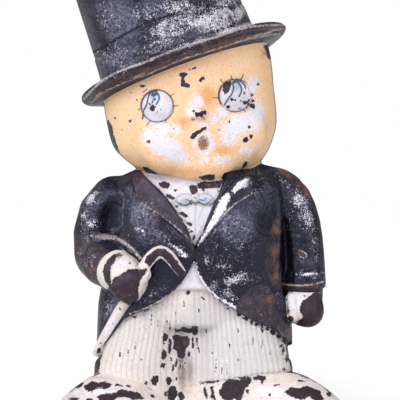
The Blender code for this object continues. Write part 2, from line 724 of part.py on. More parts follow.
Leg = namedtuple("Leg", "foot_x top_x half_width shoe_x shoe_y toe_out")
RIGHT_LEG = Leg(RIGHT_FOOT_X, RIGHT_LEG_TOP_X, RIGHT_LEG_HALF_WIDTH, RIGHT_SHOE_X, RIGHT_SHOE_Y,
                -RIGHT_TOE_OUT)
LEFT_LEG = Leg(LEFT_FOOT_X, LEFT_LEG_TOP_X, LEFT_LEG_HALF_WIDTH, LEFT_SHOE_X, LEFT_SHOE_Y,
               LEFT_TOE_OUT)


def leg(which, material, grow=0.0, segments=PLAIN):
    """One trouser leg, from inside the shoe up into the hips."""
    return standing("leg", LEG_RINGS, (which.foot_x, 0.0, TURN_UP_Z - LEG_INTO_SHOE),
                    (which.top_x, 0.0, CROTCH_Z + LEG_INTO_HIPS), which.half_width, LEG_HALF_DEPTH,
                    material, grow, segments=segments, power=LEG_POWER)


def turn_up(which, material):
    """The turned-up hem of one leg."""
    half_width = which.half_width * LEG_RINGS[0].width + TURN_UP_STEP
    half_depth = LEG_HALF_DEPTH * LEG_RINGS[0].depth + TURN_UP_STEP
    rings = (Ring(-0.2, 0.96, 0.96), Ring(0.0, 1.0, 1.0), Ring(0.9, 1.0, 1.0),
             Ring(1.0, 0.98, 0.98))
    return standing("turn_up", rings, (which.foot_x, 0.0, TURN_UP_Z),
                    (which.foot_x, 0.0, TURN_UP_Z + TURN_UP_HEIGHT), half_width, half_depth,
                    material, power=LEG_POWER)


def shoe(which, material, grow=0.0, segments=PLAIN):
    """One shoe: domed over the instep, and longest along its own toe-out line."""
    foot = (which.shoe_x, which.shoe_y, 0.0)
    top = (which.shoe_x, which.shoe_y, SHOE_HEIGHT)
    return standing("shoe", SHOE_RINGS, foot, top, SHOE_HALF_WIDTH, SHOE_HALF_LENGTH, material,
                    grow, which.toe_out, segments)


def welt(which, material):
    """The edge of the sole, a step wider than the shoe above it."""
    foot = (which.shoe_x, which.shoe_y, 0.0)
    top = (which.shoe_x, which.shoe_y, WELT_HEIGHT)
    share = SHOE_RINGS[1]
    return standing("welt", WELT_RINGS, foot, top, SHOE_HALF_WIDTH * share.width + WELT_STEP,
                    SHOE_HALF_LENGTH * share.depth + WELT_STEP, material, turn=which.toe_out)


def heel(which, white, black):
    """The back of one shoe under the leg, and the lift that it stands on."""
    half_width = which.half_width * HEEL_WIDTH_SHARE
    back = LEG_HALF_DEPTH * LEG_RINGS[0].depth
    centre = (which.foot_x, back / 2, 0.0)
    upper = standing("heel", (Ring(-0.2, 1.0, 1.0), Ring(0.6, 1.0, 1.0), Ring(1.2, 0.94, 0.94)),
                     centre, (which.foot_x, back / 2, TURN_UP_Z), half_width, back / 2, white,
                     power=LEG_POWER)
    lift = standing("heel_lift", (Ring(-0.5, 1.0, 1.0), Ring(1.0, 1.0, 1.0)), centre,
                    (which.foot_x, back / 2, HEEL_LIFT_HEIGHT), half_width + WELT_STEP,
                    back / 2 + WELT_STEP, black, power=LEG_POWER)
    return [upper, lift]


def web(material):
    """The wall between the legs, which closes the gap from the crotch to the ground."""
    low = RIGHT_LEG.foot_x + RIGHT_LEG.half_width - WEB_OVERLAP
    high = LEFT_LEG.foot_x - LEFT_LEG.half_width + WEB_OVERLAP
    return block("web", (low, -WEB_HALF_DEPTH, -WALL), (high, WEB_HALF_DEPTH, CROTCH_Z + WALL),
                 material)


def outer_forms(paints):
    """Every form of the figure's outside, each in its own paint."""
    black, white, flesh = paints["black"], paints["white"], paints["flesh"]
    forms = [hat(black), hair(black), *face_features(white, flesh)]
    forms += [torso(white), coat_body(black), *lapels(black), collar(black), *bow_tie(white)]
    forms += [hips(white), skirt(black), *back_buttons(black)]
    forms += [shoulders(black), *arms(black, white), cane(white), web(white)]
    for which in (RIGHT_LEG, LEFT_LEG):
        forms += [leg(which, white), turn_up(which, white), shoe(which, white)]
        forms += [welt(which, black), *heel(which, white, black)]
    return forms


def hollow_forms(iron):
    """The spaces inside the figure, a wall's thickness within its larger forms."""
    forms = [hat_hollow(iron), torso(iron, -WALL, PLAIN), hips(iron, -WALL, PLAIN)]
    forms += arms(iron, iron, -WALL)
    for which in (RIGHT_LEG, LEFT_LEG):
        forms += [leg(which, iron, -WALL, SMALL), shoe(which, iron, -WALL, SMALL)]
    return forms


SCREW_PLACES = {
    "upper_screw": (HEAD_X, CHIN_Z + UPPER_SCREW_ABOVE_CHIN, HEAD_HALF_DEPTH),
    "lower_screw": (LOWER_SCREW_X, WAIST_Z - LOWER_SCREW_BELOW_WAIST, TORSO_HALF_DEPTH),
}


def seat_y(half_depth):
    """The floor of a screw's recess in the back of the figure."""
    return half_depth - SEAT_DEPTH


def bosses(iron):
    """Solid pillars round the screws, from the front wall to the back one."""
    reach = HEAD_HALF_DEPTH + WALL
    return [rod("boss", x, z, BOSS_RADIUS, -reach, reach, iron)
            for x, z, _ in SCREW_PLACES.values()]


def below_level(name, level, material):
    """A block that holds everything below a level."""
    reach = HEAD_HALF_WIDTH * 3
    return block(name, (-reach, -reach, -reach), (reach, reach, level), material)


def hollow_shell(paints):
    """The whole figure with its hollow, before it is parted into halves."""
    iron = paints["iron"]
    solid = combine("UNION", head(paints["flesh"]), outer_forms(paints), CROWDED)
    hollow = combine("UNION", head(iron, -WALL, PLAIN), hollow_forms(iron), CROWDED)
    combine("DIFFERENCE", hollow, [*bosses(iron), below_level("sole", WALL, iron)], CROWDED)
    ground = below_level("ground", 0.0, paints["black"])
    return combine("DIFFERENCE", solid, [hollow, ground], CROWDED)


def half_space(front, material):
    """A block that holds everything in front of the seam, or everything behind it."""
    reach = HEAD_HALF_WIDTH * 3
    high = CHIN_Z + BRIM_ABOVE_CHIN + CROWN_HEIGHT * 2
    inner = -SEAM_GAP / 2 if front else SEAM_GAP / 2
    outer = -reach if front else reach
    ys = sorted((inner, outer))
    return block("half_space", (-reach, ys[0], -WALL), (reach, ys[1], high), material)


def front_half(shell, iron):
    """The front casting: each boss has a blind tapped hole and a spigot that centres it."""
    front = combine("INTERSECT", copy_of(shell, "front_casting"), [half_space(True, iron)],
                    CROWDED)
    spigots, holes = [], []
    for x, z, _ in SCREW_PLACES.values():
        spigots.append(rod("spigot", x, z, SPIGOT_RADIUS, -SPIGOT_LENGTH, SPIGOT_LENGTH, iron))
        holes.append(rod("tapped_hole", x, z, SCREW_RADIUS + SCREW_CLEARANCE,
                         -SCREW_REACH - SCREW_CLEARANCE * 2, SPIGOT_LENGTH * 2, iron))
    combine("UNION", front, spigots, CROWDED)
    return combine("DIFFERENCE", front, holes, CROWDED)


def rear_half(shell, iron):
    """The rear casting: each boss is bored through, counterbored and recessed for the head."""
    rear = combine("INTERSECT", copy_of(shell, "rear_casting"), [half_space(False, iron)],
                   CROWDED)
    reach = HEAD_HALF_DEPTH * 2
    cuts = []
    for x, z, half_depth in SCREW_PLACES.values():
        cuts.append(rod("counterbore", x, z, SPIGOT_RADIUS + SEAM_GAP, -WALL,
                        SPIGOT_LENGTH + SEAM_GAP, iron))
        cuts.append(rod("bore", x, z, SCREW_RADIUS + SCREW_CLEARANCE, -WALL, reach, iron))
        cuts.append(rod("recess", x, z, SEAT_RADIUS, seat_y(half_depth), reach, iron))
    return combine("DIFFERENCE", rear, cuts, CROWDED)


def screw(name, place, material):
    """A slotted round-head screw, its origin under its head and its shank along its own -Z."""
    x, z, half_depth = place
    shank = seat_y(half_depth) + SEAM_GAP + SCREW_REACH
    profile = [(SCREW_RADIUS - SCREW_CHAMFER, -shank), (SCREW_RADIUS, -shank + SCREW_CHAMFER),
               (SCREW_RADIUS, 0.0)]
    profile += [(SCREW_HEAD_RADIUS * wide, SCREW_HEAD_HEIGHT * high) for wide, high in DOME_PROFILE]
    stations = [Matrix.Translation((0.0, 0.0, up)) @ Matrix.Diagonal((radius, radius, 1.0, 1.0))
                for radius, up in profile]
    body = loft(name, stations, material, SMALL)
    slot = block("slot", (-SCREW_SLOT_WIDTH / 2, -SCREW_HEAD_RADIUS * 2,
                          SCREW_HEAD_HEIGHT - SCREW_SLOT_DEPTH),
                 (SCREW_SLOT_WIDTH / 2, SCREW_HEAD_RADIUS * 2, SCREW_HEAD_HEIGHT * 2), material)
    combine("DIFFERENCE", body, [slot])
    body.location = (x, seat_y(half_depth) + SEAM_GAP, z)
    body.rotation_euler = (math.radians(-90.0), 0.0, 0.0)
    return body


def paint_back(rear, paints):
    """Paints the whole rear casting black, except for its bare inside."""
    for slot in rear.material_slots:
        if slot.material in (paints["white"], paints["flesh"]):
            slot.material = paints["black"]


def shade_round(obj):
    """Smooth shading, with the edges steeper than an angle left sharp."""
    obj.data.shade_smooth()
    obj.data.set_sharp_from_angle(angle=SHARP_ABOVE)


def build():
    """Makes the two castings and their screws, and stands them under one empty."""
    clear_scene()
    paints = make_paints()
    shell = hollow_shell(paints)
    pieces = [front_half(shell, paints["iron"]), rear_half(shell, paints["iron"])]
    bpy.data.objects.remove(shell)
    paint_back(pieces[1], paints)
    pieces += [screw(name, place, paints["steel"]) for name, place in SCREW_PLACES.items()]
    figure = bpy.data.objects.new("doorstop", None)
    bpy.context.scene.collection.objects.link(figure)
    for piece in pieces:
        piece.parent = figure
        shade_round(piece)


build()
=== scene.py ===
"""Looks of a painted cast iron doorstop: a child in a top hat and tailcoat, cast in two halves.

The figure is sculpted as solid forms that flow into each other, in millimetres, and its skin is
then taken off at a fine pitch, split at the seam into a front and a rear casting, and parted into
the pieces that a painter would name: hat, head, coat, shirt, hands, cane, trousers and shoes. Left
and right are the figure's own, and it faces -Y.

Details of the front are placed on a front drawing. It is a square of 400 steps each way, with its
corner at the top left, and it shows the figure from 0.8 m in front, at the height of its chest.
"""

import logging
import math
from collections.abc import Iterable, Sequence
from copy import copy
from dataclasses import dataclass
from enum import Enum
from functools import reduce

import bpy
import numpy as np
from mathutils import Euler, Matrix, Vector

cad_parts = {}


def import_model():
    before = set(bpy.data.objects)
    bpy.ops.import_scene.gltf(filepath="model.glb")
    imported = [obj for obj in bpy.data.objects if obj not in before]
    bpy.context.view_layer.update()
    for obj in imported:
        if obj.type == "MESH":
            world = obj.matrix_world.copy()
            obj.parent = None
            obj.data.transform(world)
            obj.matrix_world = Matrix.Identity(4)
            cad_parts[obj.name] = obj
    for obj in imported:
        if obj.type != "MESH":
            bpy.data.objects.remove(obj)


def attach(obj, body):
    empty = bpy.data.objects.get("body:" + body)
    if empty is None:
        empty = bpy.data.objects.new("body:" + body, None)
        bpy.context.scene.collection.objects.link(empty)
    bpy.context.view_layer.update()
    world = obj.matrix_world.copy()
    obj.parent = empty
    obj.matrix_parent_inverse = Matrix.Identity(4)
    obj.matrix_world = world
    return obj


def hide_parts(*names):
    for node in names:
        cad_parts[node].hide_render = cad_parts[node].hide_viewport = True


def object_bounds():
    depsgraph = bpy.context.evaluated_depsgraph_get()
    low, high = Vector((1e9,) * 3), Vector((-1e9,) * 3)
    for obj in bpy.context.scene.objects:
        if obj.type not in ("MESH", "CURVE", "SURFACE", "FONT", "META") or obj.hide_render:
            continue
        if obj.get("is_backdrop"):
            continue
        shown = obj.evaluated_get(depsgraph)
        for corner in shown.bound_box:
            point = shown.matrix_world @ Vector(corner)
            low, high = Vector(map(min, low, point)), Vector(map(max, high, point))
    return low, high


# Places are given as one array for each of their coordinates.
Array = np.ndarray
Point = tuple[float, float]
Place = tuple[float, float, float]
Numbers = Sequence[float]
Places = Sequence[Array]
Socket = bpy.types.NodeSocket

# A mm in metres, and the distance beyond which nothing is worked out, in mm or steps.
MM = 0.001
FAR = 12.0
# How closely the figure is sampled, in mm.
FRONT_PITCH = 0.4
REAR_PITCH = 0.7
SCREW_PITCH = 0.14
# The room round a form, in mm, and the fewest faces that a piece may have.
MARGIN = 3
FEWEST_FACES = 12
# The castings' rim at the seam, the black paint beside it, and the gap under a screw's head, in mm.
SEAM_LIP = 2.6
SEAM_PAINT = 1.6
HEAD_GAP = 0.3
# How far out from the skin hollows are felt, and how far in ridges are, in mm.
HOLLOW_REACH = 2.4
RIDGE_REACH = 2.2
# The heights of the figure's main levels, in mm above the floor.
WAIST = 75
NECK = 118
CHIN = 112.5
CROTCH = 45.5

log = logging.getLogger("doorstop")


class Part(Enum):
    """The parts of the figure that a painter would name."""

    HAT = "hat"
    HEAD = "head"
    COAT = "coat"
    SHIRT = "shirt"
    HANDS = "hands"
    CANE = "cane"
    TROUSERS = "trousers"
    SHOES = "shoes"


class Paint(Enum):
    """The paints that the figure wears."""

    BLACK = "black"
    FLESH = "flesh"
    WHITE = "white"
    CREAM = "cream"


class Half(Enum):
    """The two castings, by the side of the seam that each lies on."""

    FRONT = "front"
    REAR = "rear"


class Way(Enum):
    """What a chart keeps of the marks drawn on it."""

    SHARP = "steps to the nearest mark"
    SOFT = "a haze as strong as the mark"
    CUT = "a rise in mm"


ORDER = {name: number for kind in (Part, Paint) for number, name in enumerate(kind)}


@dataclass(frozen=True)
class FrontDrawing:
    """The square drawing on which places on the figure's front are given."""

    side: float = 400
    step: float = 0.465
    distance: float = 800
    eye_height: float = 104.6

    def read(self, at: Places) -> tuple[Array, Array]:
        """Steps from the drawing's left edge and from its top, for places in mm."""
        scale = self.distance / (self.distance + at[1]) / self.step
        return self.side / 2 + at[0] * scale, self.side / 2 - (at[2] - self.eye_height) * scale

    def spot(self, u: float, v: float, y: float) -> Place:
        """The place y mm behind the seam that the drawing shows at u and v."""
        scale = (self.distance + y) / self.distance * self.step
        return ((u - self.side / 2) * scale, y, self.eye_height + (self.side / 2 - v) * scale)


DRAWING = FrontDrawing()


def flat(points: Iterable[Numbers]) -> tuple[float, ...]:
    """The numbers of some places, in turn."""
    return tuple(number for point in points for number in point)


def pairs(numbers: Numbers) -> list[Point]:
    """Places on the drawing from their numbers, u and v in turn."""
    return list(zip(numbers[::2], numbers[1::2]))


def moved(numbers: Numbers, right: float, down: float) -> tuple[float, ...]:
    """The same places, moved on the drawing."""
    return flat((u + right, v + down) for u, v in pairs(numbers))


def circle(middle: Point, half_width: float, half_height: float) -> tuple[float, ...]:
    """Places on the drawing all round an oval."""
    return flat((middle[0] + half_width * math.sin(angle), middle[1] + half_height * math.cos(angle))
                for angle in np.linspace(0, 2 * math.pi, 25))


def area(numbers: Numbers, reach: float) -> tuple[float, ...]:
    """The lowest and highest corners of what lies within some steps of places on the drawing."""
    us, vs = numbers[::2], numbers[1::2]
    return min(us) - reach, min(vs) - reach, max(us) + reach, max(vs) + reach


def soft_min(first: Array, second: Array, blend: float) -> Array:
    """The lesser of two distances, with a fillet of some mm where they are nearly equal."""
    near = np.maximum(blend - np.abs(first - second), 0)
    return np.minimum(first, second) - near * near / (4 * blend)


def soft_max(first: Array, second: Array, blend: float) -> Array:
    """The greater of two distances, rounded by some mm where they are nearly equal."""
    return -soft_min(-first, -second, blend)


def ramp(values: Array, start: float, width: float) -> Array:
    """From 0 up to a start to 1 from some width past it."""
    return np.clip((values - start) / width, 0, 1)


def crest(values: Array, middle: float, width: float) -> Array:
    """A smooth rise to 1 at a middle, of some width to each side."""
    return np.exp(-(((values - middle) / width) ** 2))


def smooth_path(points: Sequence[Numbers], steps: int) -> Array:
    """A smooth curve through points.

    Args:
        points: The points, each with any count of numbers.
        steps: Stretches from each point to the next.

    Returns:
        The curve's points, one to a row.
    """
    given = np.array(points, float)
    ends = np.vstack([2 * given[0] - given[1], given, 2 * given[-1] - given[-2]])
    path = []
    for before, start, stop, after in zip(ends, ends[1:], ends[2:], ends[3:]):
        for t in np.arange(steps) / steps:
            path.append((2 * start + (stop - before) * t
                         + (2 * before - 5 * start + 4 * stop - after) * t**2
                         + (3 * start - before - 3 * stop + after) * t**3) / 2)
    return np.array([*path, given[-1]])


def line_distance(at: Places, start: Numbers, stop: Numbers) -> Array:
    """Distances from a straight stretch on the drawing.

    Args:
        at: Steps from the drawing's left edge and from its top.
        start: Where the stretch begins.
        stop: Where it ends.

    Returns:
        The distances, in steps.
    """
    right, down = at[0] - start[0], at[1] - start[1]
    across, along = stop[0] - start[0], stop[1] - start[1]
    length = max(across * across + along * along, 1e-6)
    share = np.clip((right * across + down * along) / length, 0, 1)
    return np.hypot(right - share * across, down - share * along)


@dataclass(frozen=True)
class Blot:
    """An oval mark on the front drawing: its middle, its half sizes and its turn, in steps."""

    u: float
    v: float
    half_width: float
    half_height: float
    turn: float = 0
    strength: float = 1

    def window(self) -> tuple[float, ...]:
        """The drawing's area that holds the mark."""
        return area((self.u, self.v), max(self.half_width, self.half_height))

    def distance(self, at: Places) -> Array:
        """Steps from the mark's edge.

        Args:
            at: Steps from the drawing's left edge and from its top.

        Returns:
            Signed distances, less than zero inside the mark.
        """
        turn = math.radians(self.turn)
        across, down = at[0] - self.u, at[1] - self.v
        wide = (across * math.cos(turn) + down * math.sin(turn)) / self.half_width
        high = (down * math.cos(turn) - across * math.sin(turn)) / self.half_height
        return (np.hypot(wide, high) - 1) * min(self.half_width, self.half_height)


@dataclass(frozen=True)
class Patch:
    """A mark on the front drawing with straight sides from corner to corner."""

    corners: Numbers

    def window(self) -> tuple[float, ...]:
        """The drawing's area that holds the mark."""
        return area(self.corners, 0)

    def distance(self, at: Places) -> Array:
        """Steps from the mark's edge.

        Args:
            at: Steps from the drawing's left edge and from its top.

        Returns:
            Signed distances, less than zero inside the mark.
        """
        u, v = at
        nearest = np.full(np.broadcast(u, v).shape, FAR * FAR)
        inside = np.zeros(nearest.shape, bool)
        corners = pairs(self.corners)
        for (u0, v0), (u1, v1) in zip(corners, corners[1:] + corners[:1]):
            nearest = np.minimum(nearest, line_distance(at, (u0, v0), (u1, v1)))
            # A place is inside if a line from it to the right crosses the sides an odd number of times.
            if v0 != v1:
                crosses = (v0 > v) != (v1 > v)
                inside ^= crosses & (u < (u1 - u0) * (v - v0) / (v1 - v0) + u0)
        return np.where(inside, -nearest, nearest)


@dataclass(frozen=True)
class Line:
    """A drawn or engraved line: its points and its half width in steps, and its rise in mm."""

    points: Numbers
    half_width: float = 0.7
    rise: float = 0
    strength: float = 1

    def window(self) -> tuple[float, ...]:
        """The drawing's area that holds the line."""
        return area(self.points, self.half_width * 3)

    def distance(self, at: Places) -> Array:
        """Steps from the line's edge.

        Args:
            at: Steps from the drawing's left edge and from its top.

        Returns:
            Signed distances, less than zero on the line.
        """
        path = pairs(self.points)
        if len(path) > 2:
            path = smooth_path(path, 4)
        nearest = np.full(np.broadcast(*at).shape, FAR * FAR)
        for start, stop in zip(path, path[1:]):
            nearest = np.minimum(nearest, line_distance(at, start, stop))
        return nearest - self.half_width


Mark = Blot | Patch | Line
Marks = Sequence[Mark | Numbers]


def mark_of(given: Mark | Numbers) -> Mark:
    """A mark, also from a plain row of its numbers.

    Args:
        given: The mark, an oval's six numbers at most, or a patch's corners.

    Returns:
        The mark.
    """
    if isinstance(given, Mark):
        return given
    return Blot(*given) if len(given) < 7 else Patch(given)


@dataclass
class Chart:
    """A quantity over a flat area, worked out once and then read at any place.

    It has some samples to each step from its low corner to its high one, with one value at first.
    """

    samples: int
    start: float
    low: Point = (-40, -40)
    high: Point = (440, 440)

    def __post_init__(self) -> None:
        """Sets the first value all over."""
        counts = [int((stop - first) * self.samples) + 1 for first, stop in zip(self.low, self.high)]
        self.values = np.full(counts, self.start, np.float32)

    def part(self, window: Numbers, reach: float) -> tuple[tuple[slice, ...], Places]:
        """The chart's part round an area.

        Args:
            window: The area's lowest and highest corners.
            reach: How far round it, in steps.

        Returns:
            The part's slices, and the places of its samples.
        """
        spans, places = [], []
        for axis, size in enumerate(self.values.shape):
            first = int((window[axis] - reach - self.low[axis]) * self.samples)
            last = int((window[axis + 2] + reach - self.low[axis]) * self.samples) + 2
            span = slice(max(first, 0), min(max(last, 0), size))
            spans.append(span)
            places.append(np.arange(span.start, span.stop) / self.samples + self.low[axis])
        return tuple(spans), np.ix_(*places)

    def draw(self, marks: Marks, way: Way) -> "Chart":
        """Draws marks over what is there.

        Args:
            marks: The marks.
            way: What is kept of them.

        Returns:
            This chart.
        """
        for mark in map(mark_of, marks):
            window = mark.window()
            part, at = self.part(window, mark.half_width * 2 if way is Way.CUT else FAR)
            away, kept = mark.distance(at), self.values[part]
            if way is Way.SHARP:
                self.values[part] = np.minimum(kept, away)
            elif way is Way.SOFT:
                softness = min(FAR, 0.7 * min(window[2] - window[0], window[3] - window[1]))
                soft = np.clip(0.5 - away / softness, 0, 1)
                self.values[part] = np.maximum(kept, soft * soft * mark.strength)
            else:
                away = (away + mark.half_width) / mark.half_width
                self.values[part] += mark.rise * np.exp(-away * away)
        return self

    def read(self, at: Places) -> Array:
        """The quantity at some places.

        Args:
            at: The places' steps across and down the area.

        Returns:
            Its values.
        """
        across, down = (np.clip((place - start) * self.samples, 0, size - 1.001)
                        for place, start, size in zip(at, self.low, self.values.shape))
        i, j = across.astype(np.int32), down.astype(np.int32)
        s, t = (across - i).astype(np.float32), (down - j).astype(np.float32)
        grid = self.values
        return ((grid[i, j] * (1 - s) + grid[i + 1, j] * s) * (1 - t)
                + (grid[i, j + 1] * (1 - s) + grid[i + 1, j + 1] * s) * t)


@dataclass(kw_only=True)
class Form:
    """A solid form of the figure, in millimetres, with its fillet, its paint and its part."""

    blend: float = 1
    paint: Paint | None = None
    part: Part | None = None

    def box(self) -> tuple[Array, Array]:
        """The form's lowest and highest corners."""
        raise NotImplementedError

    def distance(self, at: Places) -> Array:
        """Signed distances from the form's skin, less than zero inside."""
        raise NotImplementedError


@dataclass
class Egg(Form):
    """An ellipsoid, turned by degrees about the three axes."""

    centre: Place
    radii: Place
    turn: Place = (0, 0, 0)

    def box(self) -> tuple[Array, Array]:
        """The form's lowest and highest corners."""
        reach = np.full(3, max(self.radii)) if any(self.turn) else np.array(self.radii)
        return np.array(self.centre) - reach, np.array(self.centre) + reach

    def distance(self, at: Places) -> Array:
        """Signed distances from the egg's skin.

        Args:
            at: The places, in mm.

        Returns:
            The distances, less than zero inside.
        """
        x, y, z = (values - middle for values, middle in zip(at, self.centre))
        own = Euler([math.radians(angle) for angle in self.turn]).to_matrix().transposed()
        near, far = 0, 0
        for axis, radius in zip(own, self.radii):
            along = (axis[0] * x + axis[1] * y + axis[2] * z) / radius
            near = near + along * along
            far = far + (along / radius) ** 2
        near, far = np.sqrt(near), np.sqrt(far)
        return near * (near - 1) / np.maximum(far, 1e-6)


@dataclass
class Limb(Form):
    """A round form along a path of points, each with its x, y, z and radius."""

    points: Sequence[Numbers]
    flatness: float = 1

    def box(self) -> tuple[Array, Array]:
        """The form's lowest and highest corners."""
        path = np.array(self.points, float)
        return (path[:, :3] - path[:, 3:]).min(0), (path[:, :3] + path[:, 3:]).max(0)

    def distance(self, at: Places) -> Array:
        """Signed distances from the limb's skin.

        Args:
            at: The places, in mm.

        Returns:
            The distances, less than zero inside.
        """
        x, y, z = at
        nearest = FAR
        for start, stop in zip(self.points, self.points[1:]):
            dx, dy, dz = (stop[axis] - start[axis] for axis in range(3))
            ax, ay, az = x - start[0], (y - start[1]) / self.flatness, z - start[2]
            length = dx * dx + dy * dy + dz * dz
            share = np.clip((ax * dx + ay * dy + az * dz) / length, 0, 1)
            away = np.sqrt((ax - share * dx) ** 2 + (ay - share * dy) ** 2 + (az - share * dz) ** 2)
            nearest = np.minimum(nearest, away - start[3] - share * (stop[3] - start[3]))
        return nearest


@dataclass
class Trunk(Form):
    """A standing form with level oval sections that change smoothly with height.

    Each ring gives its share of the height, its shares of the half width and of the half depth,
    and how far its middle lies sideways and back, in mm, from the line from foot to top.
    """

    rings: Sequence[Numbers]
    foot: Place
    top: Place
    half_width: float
    half_depth: float
    power: float = 2
    turn: float = 0
    rounding: float = 1.5
    softness: float = 0.05

    def __post_init__(self) -> None:
        """Works out the smooth sections once."""
        table = np.array([(*ring, 0, 0)[:5] for ring in self.rings])
        share = np.linspace(table[0, 0], table[-1, 0], 400)
        window = max(int(len(share) * self.softness), 1)
        smooth = []
        # Two running means turn the straight lines from ring to ring into smooth curves.
        for column in table[:, 1:].T:
            values = np.interp(share, table[:, 0], column)
            for _ in range(2):
                padded = np.pad(values, window, mode="reflect", reflect_type="odd")
                values = np.convolve(padded, np.ones(2 * window + 1) / (2 * window + 1), "valid")
            smooth.append(values)
        self.heights = self.foot[2] + share * (self.top[2] - self.foot[2])
        self.wide = smooth[0] * self.half_width
        self.deep = smooth[1] * self.half_depth
        self.angle = math.radians(self.turn)
        cos, sin = math.cos(self.angle), math.sin(self.angle)
        self.middle_x = (self.foot[0] + share * (self.top[0] - self.foot[0])
                         + smooth[2] * cos - smooth[3] * sin)
        self.middle_y = (self.foot[1] + share * (self.top[1] - self.foot[1])
                         + smooth[2] * sin + smooth[3] * cos)
        steep = np.gradient(self.wide, self.heights)
        self.slope = 1 / np.sqrt(1 + steep * steep)

    def box(self) -> tuple[Array, Array]:
        """The form's lowest and highest corners.

        Returns:
            Both corners, in mm.
        """
        most = np.maximum(self.wide, self.deep)
        wide, deep = (most, most) if self.turn else (self.wide, self.deep)
        low = ((self.middle_x - wide).min(), (self.middle_y - deep).min(), self.heights[0])
        high = ((self.middle_x + wide).max(), (self.middle_y + deep).max(), self.heights[-1])
        return np.array(low), np.array(high)

    def distance(self, at: Places) -> Array:
        """Signed distances from the trunk's skin.

        Args:
            at: The places, in mm.

        Returns:
            The distances, less than zero inside.
        """
        x, y, z = at
        wide, deep, middle_x, middle_y, slope = (
            np.interp(z, self.heights, values).astype(np.float32)
            for values in (self.wide, self.deep, self.middle_x, self.middle_y, self.slope))
        x, y = x - middle_x, y - middle_y
        if self.turn:
            cos, sin = math.cos(self.angle), math.sin(self.angle)
            x, y = x * cos + y * sin, y * cos - x * sin
        length = np.sqrt(x * x + y * y)
        if self.power == 2:
            ring = np.sqrt((x / wide) ** 2 + (y / deep) ** 2)
        else:
            ring = ((np.abs(x) / wide) ** self.power
                    + (np.abs(y) / deep) ** self.power) ** (1 / self.power)
        side = length * (1 - 1 / np.maximum(ring, 1e-3)) * slope
        return soft_max(side, np.maximum(self.heights[0] - z, z - self.heights[-1]), self.rounding)


@dataclass
class Turned(Form):
    """A shape turned on a leaning axis, a little flattened front to back.

    The profile gives half width and height along the axis, and the shape shifts sideways by some
    mm as it rises through a height.
    """

    profile: Sequence[Point]
    frame: Matrix
    depth_share: float
    shift: float
    shift_height: float

    def __post_init__(self) -> None:
        """Charts the profile once."""
        self.widest = max(radius for radius, _ in self.profile)
        low = (-1, self.profile[0][1] - 8)
        high = (self.widest + 8, self.profile[-1][1] + 8)
        self.chart = Chart(8, FAR, low, high)
        part, at = self.chart.part((*low, *high), 0)
        self.chart.values[part] = Patch(flat(self.profile)).distance(at)

    def box(self) -> tuple[Array, Array]:
        """The form's lowest and highest corners.

        Returns:
            Both corners, in mm.
        """
        reach = self.widest + abs(self.shift)
        corners = np.array([self.frame @ Vector((a, b, height)) for a in (-reach, reach)
                            for b in (-reach * self.depth_share, reach * self.depth_share)
                            for height in (self.profile[0][1], self.profile[-1][1])])
        return corners.min(0), corners.max(0)

    def own(self, at: Places) -> tuple[Array, Array, Array]:
        """Places in the shape's own axes.

        Args:
            at: The places, in mm.

        Returns:
            Sideways, back and up along the axis.
        """
        x, y, z = at
        sideways, deep, height = (row[0] * x + row[1] * y + row[2] * z + row[3]
                                  for row in self.frame.inverted()[:3])
        rise = ramp(height, 0, self.shift_height)
        return sideways - self.shift * rise * rise * (3 - 2 * rise), deep, height

    def distance(self, at: Places) -> Array:
        """Signed distances from the shape's skin, less than zero inside."""
        sideways, deep, height = self.own(at)
        return self.chart.read((np.sqrt(sideways**2 + (deep / self.depth_share) ** 2), height))


@dataclass
class Bar(Form):
    """A box with rounded edges, given by two corners."""

    low: Place
    high: Place
    rounding: float = 1

    def box(self) -> tuple[Array, Array]:
        """The form's lowest and highest corners."""
        return np.array(self.low), np.array(self.high)

    def distance(self, at: Places) -> Array:
        """Signed distances from the bar's skin.

        Args:
            at: The places, in mm.

        Returns:
            The distances, less than zero inside.
        """
        x, y, z = (np.abs(value - (a + b) / 2) - abs(b - a) / 2
                   for value, a, b in zip(at, self.low, self.high))
        return soft_max(soft_max(x, y, self.rounding), z, self.rounding)


@dataclass
class Rod(Form):
    """A cylinder along y, such as a screw's recess."""

    x: float
    z: float
    radius: float
    front: float
    back: float

    def box(self) -> tuple[Array, Array]:
        """The form's lowest and highest corners."""
        return (np.array((self.x - self.radius, self.front, self.z - self.radius)),
                np.array((self.x + self.radius, self.back, self.z + self.radius)))

    def distance(self, at: Places) -> Array:
        """Signed distances from the rod's skin, less than zero inside."""
        ends = np.maximum(self.front - at[1], at[1] - self.back)
        return np.maximum(np.hypot(at[0] - self.x, at[2] - self.z) - self.radius, ends)


@dataclass
class Layer(Form):
    """Cloth that lies on a form: a skin some mm above it, kept to outlines on the drawing.

    With keep, the cloth is what lies inside the outline on the front. Without it, the outline is
    cut out of cloth that goes all round.
    """

    base: Form
    lift: float
    outline: Patch
    keep: bool = False
    rounding: float = 0.5

    def __post_init__(self) -> None:
        """Charts the outline once."""
        self.chart = Chart(2, FAR * 2)
        part, at = self.chart.part(self.outline.window(), DRAWING.side)
        self.chart.values[part] = self.outline.distance(at)

    def box(self) -> tuple[Array, Array]:
        """The form's lowest and highest corners.

        Returns:
            Both corners, in mm.
        """
        low, high = self.base.box()
        high = high + self.lift
        if self.keep:
            high[1] = 0
        return low - self.lift, high

    def distance(self, at: Places) -> Array:
        """Signed distances from the cloth's skin.

        Args:
            at: The places, in mm.

        Returns:
            The distances, less than zero inside.
        """
        skin = self.base.distance(at) - self.lift
        edge = self.chart.read(DRAWING.read(at)) * DRAWING.step
        if self.keep:
            limit = np.maximum(edge, at[1])
        else:
            limit = np.where(at[1] + 0 * edge < 0, -edge, -FAR)
        return soft_max(skin, limit.astype(np.float32), self.rounding)


